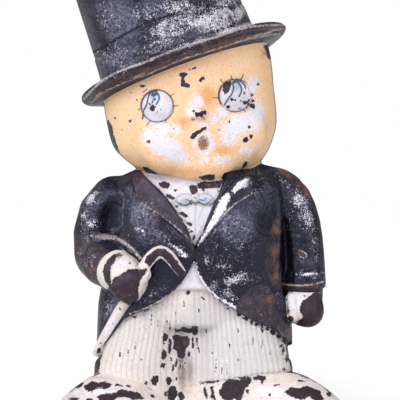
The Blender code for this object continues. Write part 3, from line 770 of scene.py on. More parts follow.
@dataclass
class Wear:
    """The marks that age and the painter's brush have left on one part of the front, with its painted
    highlights and painted shading.

    Most are plain rows of numbers on the front drawing. A row of four to six is an oval's middle,
    half sizes, turn in degrees and strength, and a longer one is a patch's corners in turn.
    """

    chip: Marks = ()
    primer: Marks = ()
    scuff: Marks = ()
    ink: Marks = ()
    speckle: Marks = ()
    rust: Marks = ()
    orange_and_warm_shading: Marks = ()
    lip: Marks = ()
    highlight_and_tint: Marks = ()
    shading_and_dirt: Marks = ()
    engraving: Sequence[Line] = ()


SHARP_MARKS = ("chip", "primer", "scuff", "ink", "lip")
# Hazy marks: primer specks, rust, orange with warm painted shading, a painted highlight on the black with a
# blue-grey tint on the light paints, and painted shading with a little dirt.
SOFT_MARKS = ("speckle", "rust", "orange_and_warm_shading", "highlight_and_tint", "shading_and_dirt")


class SubAssembly:
    """One part of the figure: its forms, what is cut from it, and its marks."""

    part: Part
    paint = Paint.BLACK
    edge_wear = 1

    def forms(self) -> list[Form]:
        """The part's solid forms."""
        return []

    def cuts(self) -> list[Form]:
        """What is taken out of the figure for this part."""
        return []

    def wear(self) -> Wear:
        """The part's marks."""
        return Wear()

    def relief(self, at: Places) -> Array:
        """How far the part's skin stands out at places on it, in mm."""
        return np.zeros_like(at[0])

    def solids(self) -> list[Form]:
        """The part's forms, named for it, and in its paint where they have no other.

        Returns:
            The forms.
        """
        made = self.forms()
        for form in made:
            form.part = self.part
            form.paint = form.paint or self.paint
        return made


@dataclass
class Hat(SubAssembly):
    """The top hat: it leans to the figure's right and a little back."""

    part = Part.HAT
    edge_wear = 0.2
    centre: Place = (-7.4, 0, 167.4)
    lean: float = 20
    tip_back: float = 6
    crown_radius: float = 36.7
    crown_height: float = 60
    crown_taper: float = 1.6
    brim_radius: float = 50.4
    brim_half_thickness: float = 1.8
    brim_drop: float = 3.2
    depth_share: float = 0.87
    shift: float = -1.4
    flare: float = 9
    band_height: float = 16.4
    band_step: float = 0.35
    band_groove: float = 0.7
    upper_line: float = 3.4
    upper_groove: float = 0.14

    def shape(self) -> Turned:
        """The hat's turned form.

        Returns:
            The form.
        """
        lean = Matrix.Rotation(math.radians(-self.lean), 4, "Y")
        tip = Matrix.Rotation(math.radians(-self.tip_back), 4, "X")
        base, edge, half = self.crown_radius, self.brim_radius, self.brim_half_thickness
        under, top = -half - self.brim_drop, self.crown_height
        profile = ((0, under), (base * 0.9, under), (base + 1.5, under + 0.3),
                   (base + 6, under + 1.3), (edge - 4.2, -half - 0.9), (edge - 3.6, -half + 0.1),
                   (edge - 2.2, -half), (edge - 0.6, -half * 0.62), (edge, 0),
                   (edge - 0.5, half * 0.62), (edge - 1.8, half * 0.85), (edge - 4, half * 0.35),
                   (base + 7.5, -0.5), (base + 4.3, 0.1), (base + 2.2, 1.6), (base + 0.9, 4.6),
                   (base + 0.3, self.flare), (base, self.flare * 1.8),
                   (base - self.crown_taper * 0.9, top - 5), (base - self.crown_taper - 0.2, top - 1.3),
                   (base - self.crown_taper - 1.2, top - 0.3), (base - 5, top), (0, top))
        return Turned(profile, Matrix.Translation(self.centre) @ lean @ tip, self.depth_share,
                      self.shift, self.flare * 0.4, blend=0.8)

    def forms(self) -> list[Form]:
        """The part's solid forms."""
        return [self.shape()]

    def relief(self, at: Places) -> Array:
        """The hatband: a low step all round the crown, with a groove over it.

        Args:
            at: The places, in mm.

        Returns:
            The rise, in mm.
        """
        sideways, _, height = self.shape().own(at)
        crown = ramp(height, self.flare * 0.6, 2)
        band = ramp(-height, -self.band_height, 0.5) * self.band_step
        groove = crest(height, self.band_height, 0.45) * self.band_groove
        upper = crest(height, self.band_height + self.upper_line, 0.4) * self.upper_groove
        return crown * (band - groove - upper * ramp(sideways, -4, 8))

    def wear(self) -> Wear:
        """The part's marks.

        Returns:
            The marks.
        """
        rim = (84, 99, 101, 81.5, 119, 71.5, 144, 62.5, 168, 52.5, 193, 44, 216, 37, 239, 29.5, 262, 25.5,
            283, 25)
        lip = (86, 101.5, 103, 88, 120, 79.5, 145, 71, 169, 60.5, 194, 51.5, 217, 44.5, 240, 37, 263, 32,
            282, 29)
        band = (93, 52, 100, 48.5, 114, 40.5, 130, 31.5, 145, 24.5, 159.5, 19, 172, 15, 190, 9.5, 210, 5,
            233, 1.5)
        under = (92, 103, 112, 91, 136, 79.5, 160, 70, 185, 60.5, 212, 52.5, 240, 44, 262, 37.5, 278, 32)
        made = Wear()
        made.chip = [Line(lip, 3.4), Line(under, 3.2), (95, 95, 6, 4, -40), (108.5, 37, 1.9, 1.4), (279, 30,
            6, 3, -20)]
        # The hatband's groove, painted darker on the black as painted shading.
        made.ink = [Line(band, 0.9)]
        made.scuff = [Line(rim, 0.9), Line(moved(lip, 1, 4.4), 0.45), (248, 24.5, 10, 1.6, -12), (228, 31,
            9, 1.2, -16), (266, 33.5, 7, 1.1, -16), (248, 39, 8, 0.9, -18), (275, 30, 5, 0.8, -12), (258,
            35.5, 6, 0.8, -16), (98, 95, 4, 0.8, -35), (240, 16, 1, 5, 30), (222, 47.5, 7, 0.6, -18), (184,
            59, 8, 0.6, -20), (140, 75.5, 6, 0.6, -22)]
        made.speckle = [(216, 20, 34, 14, -14, 1.5), (200, 41, 42, 5, -20, 1.6), (228, 30, 24, 6, -18, 1.6),
            (238, 14, 9, 18, 30, 1.4), (176, 26, 34, 14, -18, 1.25), (182, 8, 36, 10, 0, 1.25), (160, 44,
            34, 9, -20, 1), (146, 14, 20, 12, 0, 0.8), (104, 82, 9, 4, -30, 0.9), (112, 54, 22, 16, 0,
            0.65), (226, 3, 20, 8, 0, 1.4), (110, 16, 18, 18, 0, 0.55), (96, 100, 9, 3, -40, 1), (130, 66,
            30, 8, -30, 0.7), Line(moved(lip[6:], 0, 4), 1.6, strength=1.3)]
        # Painted highlights on the black hat, where the lamps gleam on the crown and the brim.
        made.highlight_and_tint = [(120, 22, 20, 26, -16, 1), (122, 58, 22, 12, -30, 1), (108, 12, 20, 12, 30, 0.6),
            (150, 8, 18, 10, 0, 0.5), (200, 30, 26, 12, -20, 0.4), (88, 30, 6, 24, -18, 0.5), (172, 36, 20,
            9, -20, 0.5), (102, 84, 9, 6, -30, 0.8)]
        made.rust = [(236, 26, 18, 5, -18, 0.4), (109, 37, 2.4, 1.8, 0, 1.6), (150, 68, 50, 5, -20, 0.6),
            (230, 42, 44, 6, -16, 0.65)]
        made.engraving = [Line(band, 0.6, -0.7), Line(moved(band, 0.8, 2), 0.8, 0.25), Line(under, 0.9,
            -0.35), Line(moved(lip, 0.6, 2.4), 0.9, -0.3)]
        return made


# Each form's rings are told in the docstring of Trunk.
HEAD_RINGS = (
    (-0.004, 0.16, 0.18, 2, -8), (0.004, 0.28, 0.3, 1.7, -9), (0.04, 0.5, 0.52, 0.2, -6.5),
    (0.115, 0.745, 0.76, 1.9, -3), (0.2, 0.89, 0.89, 0.3, -1), (0.29, 0.955, 0.965, 0.4, 0),
    (0.385, 0.99, 1, 0.4, 0), (0.49, 1, 1, -0.6, 0), (0.6, 0.985, 0.985, -1, 0),
    (0.72, 0.96, 0.96, -0.6, 0), (0.845, 0.92, 0.92, -0.3, 0.5), (0.94, 0.84, 0.84, -0.3, 1),
    (1, 0.7, 0.7, -0.3, 1))


@dataclass
class Head(SubAssembly):
    """The head: a plain doll's face with domed eyes, a button nose and a small round mouth."""

    part = Part.HEAD
    paint = Paint.FLESH
    middle: float = -4.2
    height: float = 74
    half_width: float = 40
    half_depth: float = 32.5
    eye_radius: float = 7.6
    eye_bulge: float = 3.3
    cheek: float = 11
    left_eye: Point = (235.4, 95.5)
    right_eye: Point = (157.2, 106)
    nose: Point = (198.5, 113)
    mouth: Point = (203.4, 142.8)
    hair_lift: float = 1
    hairline: float = 9

    def skull(self) -> Trunk:
        """The head without its features."""
        return Trunk(HEAD_RINGS, (self.middle, 0, CHIN), (self.middle, 0, CHIN + self.height),
                     self.half_width, self.half_depth, rounding=3, softness=0.035, blend=1.2)

    def on_face(self, u: float, v: float) -> Place:
        """The place on the face that the drawing shows at u and v.

        Args:
            u: Steps from the drawing's left edge.
            v: Steps from its top.

        Returns:
            The place, in mm.
        """
        x = (u - DRAWING.side / 2) * DRAWING.step * 0.96
        share = (x - self.middle) / self.half_width
        return DRAWING.spot(u, v, -self.half_depth * math.sqrt(max(1 - share * share, 0)))

    def forms(self) -> list[Form]:
        """The part's solid forms.

        Returns:
            The forms.
        """
        made: list[Form] = [self.skull()]
        for eye in (self.left_eye, self.right_eye):
            x, y, z = self.on_face(*eye)
            outward = math.degrees(math.atan2(x - self.middle, self.half_width * 1.1))
            made.append(Egg((x, y + 0.9, z), (self.eye_radius, self.eye_bulge, self.eye_radius),
                            (0, 0, outward), paint=Paint.WHITE, blend=0.35))
        x, y, z = self.on_face(*self.nose)
        made.append(Egg((x, y + 0.5, z), (3.3, 3.1, 2.9), blend=1.4))
        made += [Egg((x + side * 2.3, y + 0.6, z - 1.6), (1.6, 2, 1.5)) for side in (-1, 1)]
        for cheek in ((165, 143), (240, 134)):
            x, y, z = self.on_face(*cheek)
            made.append(Egg((x, y + 6.6, z), (self.cheek, 6.6, self.cheek * 0.85), blend=8))
        x, y, z = DRAWING.spot(203, 168, -31)
        return [*made, Egg((x, y + 10.5, z + 1), (10, 7.5, 6), blend=7)]

    def cuts(self) -> list[Form]:
        """What is taken out of the figure for this part."""
        x, y, z = self.on_face(*self.mouth)
        return [Egg((x, y - 0.6, z), (2.7, 2.4, 3.5), blend=0.9)]

    def relief(self, at: Places) -> Array:
        """The hair: a cap behind the hairline, combed down.

        Args:
            at: The places, in mm.

        Returns:
            The rise, in mm.
        """
        x, y, z = at
        angle = np.arctan2(x - self.middle, y)
        wave = 0.55 * np.sin(angle * 34 + np.sin(z * 0.21) * 1.4) + 0.3 * np.sin(angle * 61)
        return ramp(y, self.hairline, 1.5) * ramp(z, CHIN + 4, 3) * (self.hair_lift + 0.3 * wave)

    def wear(self) -> Wear:
        """The part's marks.

        Returns:
            The marks.
        """
        around = [circle(self.left_eye, 16.6, 16.6), circle(self.right_eye, 16.4, 16.4)]
        lashes = [(147, 89, 142.5, 92.5), (172.5, 106.5, 178, 105.5), (150, 121, 146, 126), (141.5, 108,
            138, 110), (223.5, 83.5, 220.5, 79.5), (241, 79.5, 243.5, 74.5), (251.5, 93, 255.5, 94), (219,
            98, 213.5, 97.5), (243.5, 109, 247.5, 115), (165.5, 120.5, 167, 123.5), (232, 79, 231, 75.5),
            (170, 96, 173.5, 94)]
        iris = [(156.5, 91, 150.5, 92.5, 148, 98.5, 146.5, 105, 143.5, 111, 142.5, 119), (149.5, 92.5,
            154.5, 91.5, 158.5, 94.5, 159, 99.5, 156, 104.5), (152.5, 93.5, 154, 98, 152, 103), (229.5, 80,
            233.5, 86.5, 232, 93.5, 228, 99, 224.5, 105), (233, 79, 239.5, 84, 241.5, 90.5, 239, 96.5),
            (236, 79, 243.5, 83.5, 246.5, 90)]
        made = Wear()
        made.chip = [(178.5, 73.5, 181, 72.5, 187.5, 73, 187, 76, 184.5, 77, 184, 79.5, 185.5, 82.5, 190,
            84, 190.5, 87.5, 186, 88, 180.5, 85.5, 181.5, 77, 179, 76.5), (198.5, 79, 204.5, 76, 204, 79.5,
            201.5, 80.5, 201.5, 82.5, 199.5, 82.5), (188.5, 68.5, 197, 66, 196.5, 68, 193, 69.5, 189, 70),
            (142.5, 86, 3.3, 1.5, -5), (131, 92.5, 0.9, 0.7), (130, 121, 1.4, 1.2), (149, 141.5, 2.3, 1.7),
            (115, 118, 1.1, 0.9), (193.5, 111, 1.4, 1.2), (197, 126, 1.2, 1), (229.5, 121, 1.6, 1.2), (249,
            127, 1.2, 1.3), (245.5, 140, 2.4, 2.8, 30), (251, 136.5, 1.8, 2), (231.5, 99.5, 1.1, 1.1), (235,
            100.5, 1.2, 1), (228, 107, 1.6, 1.3), (241, 100.5, 1, 1.4), (252, 95, 1.3, 1.5), (155, 99, 1.2,
            1.3), (149.5, 104, 1.2, 1.1), (161, 110, 0.7, 0.7), (157.5, 111.5, 0.8, 0.8), (174, 129, 0.6,
            0.6), (212, 88, 0.7, 0.5), (137, 100, 0.6, 0.6), (122, 130, 0.7, 0.7), (258, 84, 0.7, 0.9),
            (219, 130, 0.6, 0.6), (194, 113, 196.5, 111.5, 199, 112.5, 204.5, 110, 207, 112, 206, 115,
            203.5, 114.5, 202, 117, 199, 116, 196.5, 117), (190.5, 138.5, 191, 135, 196, 130.5, 199.5, 130,
            201.5, 127.5, 205.5, 127, 206, 129.5, 200.5, 133.5, 197, 134.5, 195.5, 138, 192.5, 140), (222.5,
            84.5, 225, 81, 229, 80.5, 231.5, 83.5, 230.5, 88.5, 228.5, 92.5, 225, 94, 223, 90.5), (245,
            102.5, 2, 1.7), (248.5, 104, 1.3, 1.1), (252, 106, 2.9, 2.7, 30), (253, 101, 1, 1), (247, 107.5,
            1.2, 1.1), (249, 100.5, 0.9, 0.8), (241.5, 105.5, 0.9, 0.9), (150, 106.5, 152.5, 104.5, 155.5,
            106, 155, 109.5, 152.5, 111.5, 150, 110), (142.5, 167, 147, 167, 156.5, 172.5, 161.5, 177, 158,
            179.5, 151.5, 178, 146.5, 173.5), (198.5, 177.5, 206, 175, 215, 174.5, 214.5, 179, 205, 180.5),
            Line((220, 181, 231, 177.5, 240, 171.5, 247, 162.5), 0.9), (238, 172.5, 4.4, 1.7, -30), (245.5,
            164, 3.2, 1.7, -40), (101, 121, 109, 120, 112, 126, 113.5, 134, 120, 152.5, 113, 155, 105, 148,
            102, 135), (263, 45, 270, 44, 271.5, 58, 269, 60, 265.5, 52)]
        made.primer = [(150, 137, 8, 8, 30), (166, 147, 20, 11, 25), (162, 130, 10, 6), (180, 157, 11, 6,
            20), (238, 124, 18, 10, -14), (231, 137, 11, 6, -20), (256, 116, 8, 15, 10), (196, 102, 6, 7),
            (193, 112, 6, 5), (203.5, 127, 5, 4), (212, 119, 5, 4), (252, 88, 6, 10, 12), (204, 160, 5, 4),
            (222, 160, 7, 4), (222, 112, 6, 6), (246, 150, 6, 4), (176, 130, 5, 4), Line(circle(self.mouth,
            8.6, 10.6), 2.4)]
        made.ink = [*(Line(points, 0.85) for points in iris), *(Line(points, 0.55) for points in lashes),
            *(Line(points, 0.52) for points in around), Line(around[0][26:42], 0.9), Line(around[1][24:38],
            0.8), (154.5, 94.5, 4, 1.5, -10), (233.5, 82.5, 3.6, 1.4, -30)]
        made.speckle = [(220, 152, 30, 12, -10, 0.7), (200, 92, 14, 10, 0, 0.6), (150, 155, 18, 10, 20,
            0.8), (258, 110, 10, 30, 0, 0.7), (185, 128, 14, 14, 0, 0.8), (126, 128, 14, 18, 0, 0.45), (190,
            172, 40, 8, 0, 0.4)]
        made.rust = [(265, 53, 4.5, 7, 0, 1)]
        made.lip = [(203.5, 143, 5.9, 7.6), (193, 119, 1.5, 1.6), (203.5, 118, 1.5, 1.7), (244.5, 93, 1.3,
            1.7), (240, 108.5, 1.8, 1)]
        # Orange on the cheeks and by the nose and eyes, with painted shading under the brim, under the chin
        # and at the face's sides.
        made.orange_and_warm_shading = [(207, 96, 11, 12, 0, 1.1), (190, 66, 44, 4, -16, 0.6), (131, 163, 18, 7, 25, 0.4),
            (192, 171, 36, 7, 0, 0.7), (215, 118, 9, 5, 0, 0.9), (222, 151, 15, 8, 0, 0.85), (268, 100, 4,
            30, 0, 0.4), (150, 80, 14, 6, -20, 0.4), (184, 122, 9, 8, 0, 0.8), (246, 152, 12, 6, -20, 0.5)]
        made.highlight_and_tint = [(154, 96, 5.5, 6, 0, 1.4), (150, 106, 4, 8, 15, 1), (236, 86, 6.5, 6.5, 0, 1.3), (230,
            99, 4, 7, 30, 0.9), (160, 116, 9, 5, 20, 0.7), (246, 98, 4.5, 10, 0, 0.5)]
        # Painted shading under the chin and at a nostril, and dirt by the rust patch and a chip.
        made.shading_and_dirt = [(206, 180, 20, 3, 0, 0.5), (193, 119, 3, 3, 0, 0.4), (245, 166, 5, 6, 0, 0.5), (266,
            54, 4, 8, 0, 0.5)]
        made.engraving = [*(Line(points, 1, -0.45) for points in around)]
        return made


TORSO_RINGS = (
    (-0.25, 0.97, 0.98), (0, 0.95, 0.97, 0, -0.5), (0.25, 0.985, 1, -0.5, -1),
    (0.5, 1, 0.98, -1, -0.5), (0.72, 0.97, 0.92, -1, 0), (0.88, 0.86, 0.82, -1, 0),
    (1, 0.62, 0.68, -1.5, 0), (1.08, 0.5, 0.58, -2, 0))

# Outlines on the front drawing: the coat's openings and its two lapels.
SHIRT_OPENING = Patch((140, 172, 159, 189.5, 172, 205, 195.5, 247, 223, 194, 240, 174, 242, 140,
    138, 140))
CUTAWAY = Patch((194.5, 262, 200, 280, 210, 293, 222, 303, 255, 321.5, 275, 330, 288, 342,
    294, 339, 330, 352, 330, 440, 60, 440, 60, 356, 99, 352, 124, 318.5, 160, 303, 180, 285))
RIGHT_LAPEL = Patch((138.5, 171, 159, 189.5, 172, 205, 181.5, 221, 196.5, 252, 194.5, 258,
    182, 233.5, 162, 217, 142, 204, 136.5, 194, 131, 178))
LEFT_LAPEL = Patch((240, 173.5, 223, 194, 196.5, 246, 196, 256, 201.5, 242, 214, 226.5, 232, 207,
    256, 193, 252, 178))


@dataclass
class Shirt(SubAssembly):
    """The shirt front, and the small bow at its neck."""

    part = Part.SHIRT
    paint = Paint.WHITE
    half_width: float = 40
    half_depth: float = 27
    power: float = 2.4
    bow: Point = (195.3, 198.8)
    bow_depth: float = -26.3

    def torso(self) -> Trunk:
        """The body under the coat."""
        return Trunk(TORSO_RINGS, (0, 0, WAIST), (0, 0, NECK), self.half_width, self.half_depth,
                     self.power)

    def forms(self) -> list[Form]:
        """The part's solid forms.

        Returns:
            The forms.
        """
        x, y, z = DRAWING.spot(*self.bow, self.bow_depth)
        wings = [Egg((x + side * 4.6, y, z - 0.4), (3.7, 1.6, 2.4), (0, side * 8, 0), blend=0.5)
                 for side in (-1, 1)]
        knot = Egg((x, y - 0.5, z + 0.4), (1.6, 1.6, 2), blend=0.3)
        return [self.torso(), *wings, knot]

    def wear(self) -> Wear:
        """The part's marks.

        Returns:
            The marks.
        """
        made = Wear()
        made.chip = [(158.5, 182.5, 164, 181.5, 170, 184.5, 169, 188.5, 163, 188.5, 159.5, 186), (188.5,
            186, 192, 184.5, 196.5, 186, 197, 192, 194.5, 195, 191, 193.5), (197.5, 183.5, 230.5, 179, 229,
            184.5, 223, 187.5, 204, 189.5, 198, 188), (166.5, 195, 171, 194.5, 175.5, 198.5, 173, 200.5,
            168, 198.5), (179, 211.5, 184.5, 212.5, 188.5, 216.5, 185.5, 218, 181, 215.5), (185.5, 221.5,
            190.5, 221.5, 194, 225, 190.5, 226.5, 187, 224.5), (192, 231.5, 1.4, 1), (194, 238, 1.1, 2.6),
            (175.5, 190, 2, 1.3), (203.5, 190.5, 2.2, 1.2), (195, 198, 1.5, 1.7), (220, 191, 2.4, 0.9, -30),
            (195, 250, 2, 4), (181, 204.5, 1.3, 0.8), (176.5, 206, 1.6, 0.9, 40), (189, 229.5, 1.2, 0.8),
            (209, 195, 0.9, 0.5), Line((171, 203.5, 177, 212, 183, 222, 189.5, 236, 194, 246), 0.7)]
        made.ink = [Line((178.5, 203, 183, 205.5, 188.5, 204, 191.5, 200), 0.6), Line((199, 201.5, 203.5,
            204.5, 208, 203, 211.5, 199.5), 0.6), Line((186, 199.5, 189.5, 201, 191.5, 204.5), 0.55),
            Line((199.5, 199.5, 203.5, 200.5, 206, 198), 0.55)]
        made.highlight_and_tint = [(185, 200.5, 6, 3.6, 0, 1.8), (205, 199.5, 5.6, 3.4, 0, 1.8), (200, 216, 5, 18, 12,
            0.45)]
        # Warm painted shading beside the lapels, along the collar and at the foot of the opening.
        made.orange_and_warm_shading = [(166, 192, 9, 4, 30, 0.8), (180, 214, 4, 14, -28, 0.9), (193, 242, 3, 8, 0, 1), (196,
            186, 26, 3, 0, 0.5)]
        made.rust = [(171, 197, 3, 2, 40, 0.6), (187, 224, 3, 6, -30, 0.5), (194, 243, 2, 5, 0, 0.8)]
        # Painted shading beside the lapels, under the bow and at the foot of the opening.
        made.shading_and_dirt = [(170, 190, 8, 4, 40, 0.4), (182, 212, 3, 12, -30, 0.5), (194, 240, 3, 9, 0, 0.6),
            (212, 186, 16, 3, -4, 0.4), (195, 250, 3, 6, 0, 0.7)]
        made.engraving = [Line((195.5, 204, 195.5, 247), 0.8, -0.4), Line((186, 206, 191, 215, 194.5, 224),
            0.7, -0.24), Line((205, 205, 201, 214, 197.5, 222), 0.7, -0.24), Line((168, 186, 176, 192, 190,
            194), 0.9, 0.28), Line((200, 194, 216, 191, 226, 186), 0.9, 0.28)]
        return made


@dataclass
class Coat(SubAssembly):
    """The tailcoat: body, lapels, collar, skirt with its tails, shoulders and sleeves."""

    part = Part.COAT
    edge_wear = 0.45
    cloth: float = 1.8
    lapel: float = 1.1
    hip_middle: float = -2.5
    skirt_half_width: float = 45.5
    skirt_half_depth: float = 27.8
    tail_end: float = 37
    vent: Place = (-2.5, 26.6, 68.4)
    button_radius: float = 2.2
    seam_depth: float = 0.35

    def forms(self) -> list[Form]:
        """The part's solid forms.

        Returns:
            The forms.
        """
        torso, middle = Shirt().torso(), self.hip_middle
        skirt = Trunk(((0, 1, 1), (0.5, 0.985, 0.985), (1, 0.91, 0.94), (1.3, 0.86, 0.9)),
                      (middle, 0, self.tail_end), (middle, 0, WAIST + 1),
                      self.skirt_half_width, self.skirt_half_depth, 2.6, rounding=0.8)
        collar = Trunk(((0, 0.8, 0.8), (0.1, 1, 1), (0.8, 0.94, 0.96), (1, 0.84, 0.86)),
                       (-2.1, 2, NECK - 10), (-2.1, 2, NECK + 2), 28, 21.5, softness=0.02)
        lapels = [Layer(torso, self.cloth + self.lapel, outline, True, 0.9, blend=0.25)
                  for outline in (RIGHT_LAPEL, LEFT_LAPEL)]
        buttons = [Egg((middle + side * 9.5, 24.7, WAIST), (self.button_radius,) * 3, blend=0.2)
                   for side in (-1, 1)]
        return [Layer(torso, self.cloth, self.joined_openings(), blend=0.25),
                Layer(skirt, 0, CUTAWAY, blend=0.8), *lapels, *self.swells(), *self.sleeves(),
                Layer(collar, 0, Patch((100, 60, 300, 60, 300, 300, 100, 300)), blend=0.6), *buttons]

    def joined_openings(self) -> Patch:
        """The shirt's opening and the cutaway, joined by a sliver where the fronts meet.

        Returns:
            The one outline.
        """
        upper, lower = pairs(SHIRT_OPENING.corners), pairs(CUTAWAY.corners)
        return Patch(flat((*upper[:5], (194.6, 246), (194.6, 262), *lower[:0:-1], (194.9, 262),
                           (195.6, 247.5), *upper[6:])))

    def swells(self) -> list[Form]:
        """The swell of the two fronts over the belly, and the shoulders under the chin.

        Returns:
            The forms.
        """
        return [Egg((-23, -18.4, 94), (11, 9.6, 14), (0, 8, -20), blend=4),
                Egg((16, -20.6, 91), (13, 9.6, 15), (0, -6, 12), blend=4),
                Egg((-0.5, 0, NECK - 9), (47, 17.5, 13.5), (0, -3.5, 0), blend=3)]

    def sleeves(self) -> list[Form]:
        """Both sleeves: the right one is bent, and the left one hangs.

        Returns:
            The forms.
        """
        right = ((-40, 0, 104.8, 11), (-45, -0.5, 98.5, 11.2), (-47.6, -1, 89, 11.1),
                 (-47.4, -2.5, 80.5, 10.9))
        fore = ((-46.4, -4.5, 78.2, 11), (-43.6, -9.4, 75.6, 10.8), (-40, -14, 73.8, 10.3))
        left = ((35.8, 0, 108, 11), (41, -0.5, 103.4, 11.2), (44.9, -1.5, 93, 11),
                (46.9, -2.8, 80, 10.6), (48, -4, 66.6, 10.2))
        return [Limb(right, blend=1.6), Limb(fore, blend=1.3), Limb(smooth_path(left, 2), blend=1.6),
                Limb(((-30, -13, 108, 6), (-36, -11, 100, 5)), blend=3),
                Limb(((30, -12, 108, 6), (34, -10.5, 98, 4.5)), blend=3)]

    def cuts(self) -> list[Form]:
        """What is taken out of the figure for this part.

        Returns:
            The forms.
        """
        x, y, top = self.vent
        cuff_x, _, cuff_z = DRAWING.spot(303, 287.5, -4)
        gap = ((38.6, -11, 96, 0.8), (39.4, -11, 86, 2.2), (40.4, -11, 62, 2.5))
        fold = ((-37.8, -15.5, 106.5, 2.4), (-39.6, -13.6, 99.5, 5), (-40.6, -13.2, 92.6, 5.8))
        return [Bar((x - 0.7, y, 20), (x + 0.7, 60, top), 0.4, blend=0.4),
                Bar((39.4, -30, cuff_z - 9), (cuff_x + 16, 30, cuff_z), 0.3, blend=0.3),
                Limb(gap, 2.8, blend=1.2), Limb(fold, blend=3)]

    def relief(self, at: Places) -> Array:
        """The coat's waist seam and its back seams.

        Args:
            at: The places, in mm.

        Returns:
            The rise, in mm.
        """
        x, y, z = at
        waist = crest(z, WAIST - 1.5, 0.7) * (np.abs(x) < 43)
        middle = crest(x, self.hip_middle, 0.6) * (z > WAIST) * (z < NECK - 8)
        bend = self.hip_middle + np.sign(x) * (9.5 + 12 * ramp(z, WAIST, 35) ** 1.5)
        side = crest(x, bend, 0.6) * (z > WAIST) * (z < NECK - 10)
        return -self.seam_depth * ramp(y, 0, 4) * np.maximum(waist, np.maximum(middle, side))

    def wear(self) -> Wear:
        """The part's marks.

        Returns:
            The marks.
        """
        made = Wear()
        made.chip = [(235.5, 307.5, 240.5, 297.5, 249.5, 288.5, 260, 284.5, 268.5, 286, 274, 295, 275,
            307.5, 284, 322, 295, 332, 297, 345, 286, 345, 284, 333, 271.5, 325, 263.5, 326, 260, 323,
            249.5, 321, 238, 313), (131, 174, 141, 172, 175, 212, 187.5, 231.5, 194.5, 249, 193.5, 257.5,
            182, 234, 167, 218.5, 149, 208, 138, 200), (149, 208, 162, 217, 158.5, 222, 157, 229, 154.5,
            231, 155, 222), (74, 233, 86, 236, 108, 250, 112, 257, 104, 262, 100, 284, 90, 276, 78, 264, 72,
            250), (272.5, 221, 277, 218, 280, 224, 279.5, 236, 275, 240.5, 271.5, 236), (268, 246, 273,
            241.5, 279.5, 243, 279, 254, 275.5, 262, 268, 258), (265, 259, 270, 255.5, 278, 262, 281, 276,
            279.5, 290, 273.5, 288, 264.5, 268), (270, 162, 284, 164, 302, 176, 312, 192, 315, 212, 306,
            197, 290, 181, 278, 171), (262, 180, 267, 181.5, 271.5, 186, 269.5, 189.5, 265, 186), (283,
            282.5, 304, 283.5, 326, 279.5, 328, 290, 283, 290), (300.5, 253, 1.9, 1.3), (304, 255.5, 2.1,
            1.4), (313, 226, 1.2, 4, -6), (317, 244, 1.6, 6, -8), (151, 236, 1.4, 1), (126, 193, 2.6, 3.6,
            -30), (118, 178, 6, 1.8, -20), (312, 240, 1.4, 2.2), (244, 262, 1.1, 0.9), (212, 262, 1, 1.3),
            (106, 318, 1.8, 7), (103, 300, 1.2, 5), (207, 250, 2, 1.6), (148, 301, 5, 1.3, -30), (131, 313,
            3.4, 1.2, -10), (252, 250, 1, 0.8)]
        made.primer = [Line((195, 264, 199, 276, 204.5, 284.5, 212.5, 293.5, 224, 301.5, 236, 307.5), 1.3),
            (228, 192, 230, 199, 223.5, 213, 203, 241, 198.5, 244.5, 222, 197), (232, 191, 238, 183, 245,
            178.5, 249, 179, 235, 193), (181, 251.5, 4.4, 1.2, 30), (174, 246.5, 2.8, 0.8, 25), (184.5,
            255.5, 3, 1.2), (138, 228.5, 2.2, 1), (143, 231, 1.3, 1.2), (309, 274, 6, 1, -4)]
        made.scuff = [Line((193, 264, 187, 277, 177, 288.5, 162, 300, 146, 308, 130, 314), 0.7), Line((194,
            264, 198, 276, 206, 288, 218, 300, 236, 309.5), 0.5), Line((256, 192.5, 246, 197, 232, 206.5,
            214, 226.5, 201.5, 242), 0.35), Line((141.5, 203, 162, 216, 182, 232.5, 193, 243), 0.25),
            Line((92, 236, 106, 235.5, 118, 238, 128, 244, 137, 253, 142, 260), 0.7), (124, 243, 8, 1.6,
            30), (106, 238, 10, 1.2, 4), Line((100, 262, 104, 257, 112, 253, 120, 251.5), 0.5), Line((284,
            284.5, 304, 285.5, 323, 282), 0.6), Line((299, 250.5, 303, 251.5, 306.5, 255, 304, 258, 299.5,
            256, 298.5, 253), 0.45)]
        made.speckle = [(91, 198, 8, 12, 30, 1.5), (84, 216, 6, 14, 10, 1.3), (91, 224, 9, 7, 0, 1.5), (142,
            210, 12, 13, 0, 0.6), (148, 232, 12, 6, 0, 0.9), (99, 186, 10, 6, -30, 0.7), (286, 182, 14, 5,
            34, 1), (299, 200, 10, 13, -20, 1.4), (307, 218, 9, 17, -15, 1.3), (313, 236, 5, 22, -8, 1.4),
            (307, 275, 12, 4, 0, 1.7), (236, 279, 20, 8, -14, 1.3), (228, 294, 13, 7, 36, 1.5), (214, 286,
            6, 8, -30, 1.5), (222, 266, 14, 6, 0, 0.9), (179, 250, 9, 5, 30, 1.6), (164, 258, 14, 4, 10,
            0.8), (244, 184, 11, 7, -20, 1.5), (258, 172, 12, 5, 20, 0.8), (141, 230, 9, 4, 0, 1.2), (207,
            262, 8, 10, 0, 1), (264, 316, 5, 3, 20, 1.3), (110, 308, 8, 16, 0, 1), (154, 214, 6, 8, 0, 0.8),
            (268, 290, 10, 5, 0, 0.7), (88, 258, 14, 14, 0, 0.5), (254, 192, 16, 8, 0, 0.6), (160, 240, 24,
            12, 20, 0.5), (232, 240, 26, 30, 0, 0.45), (150, 296, 16, 5, -20, 0.8), (292, 214, 5, 26, 10,
            1), (316, 256, 4, 20, -6, 1.1), Line((88, 238, 104, 237, 118, 240, 129, 247, 140, 258), 3.4,
            strength=1.5)]
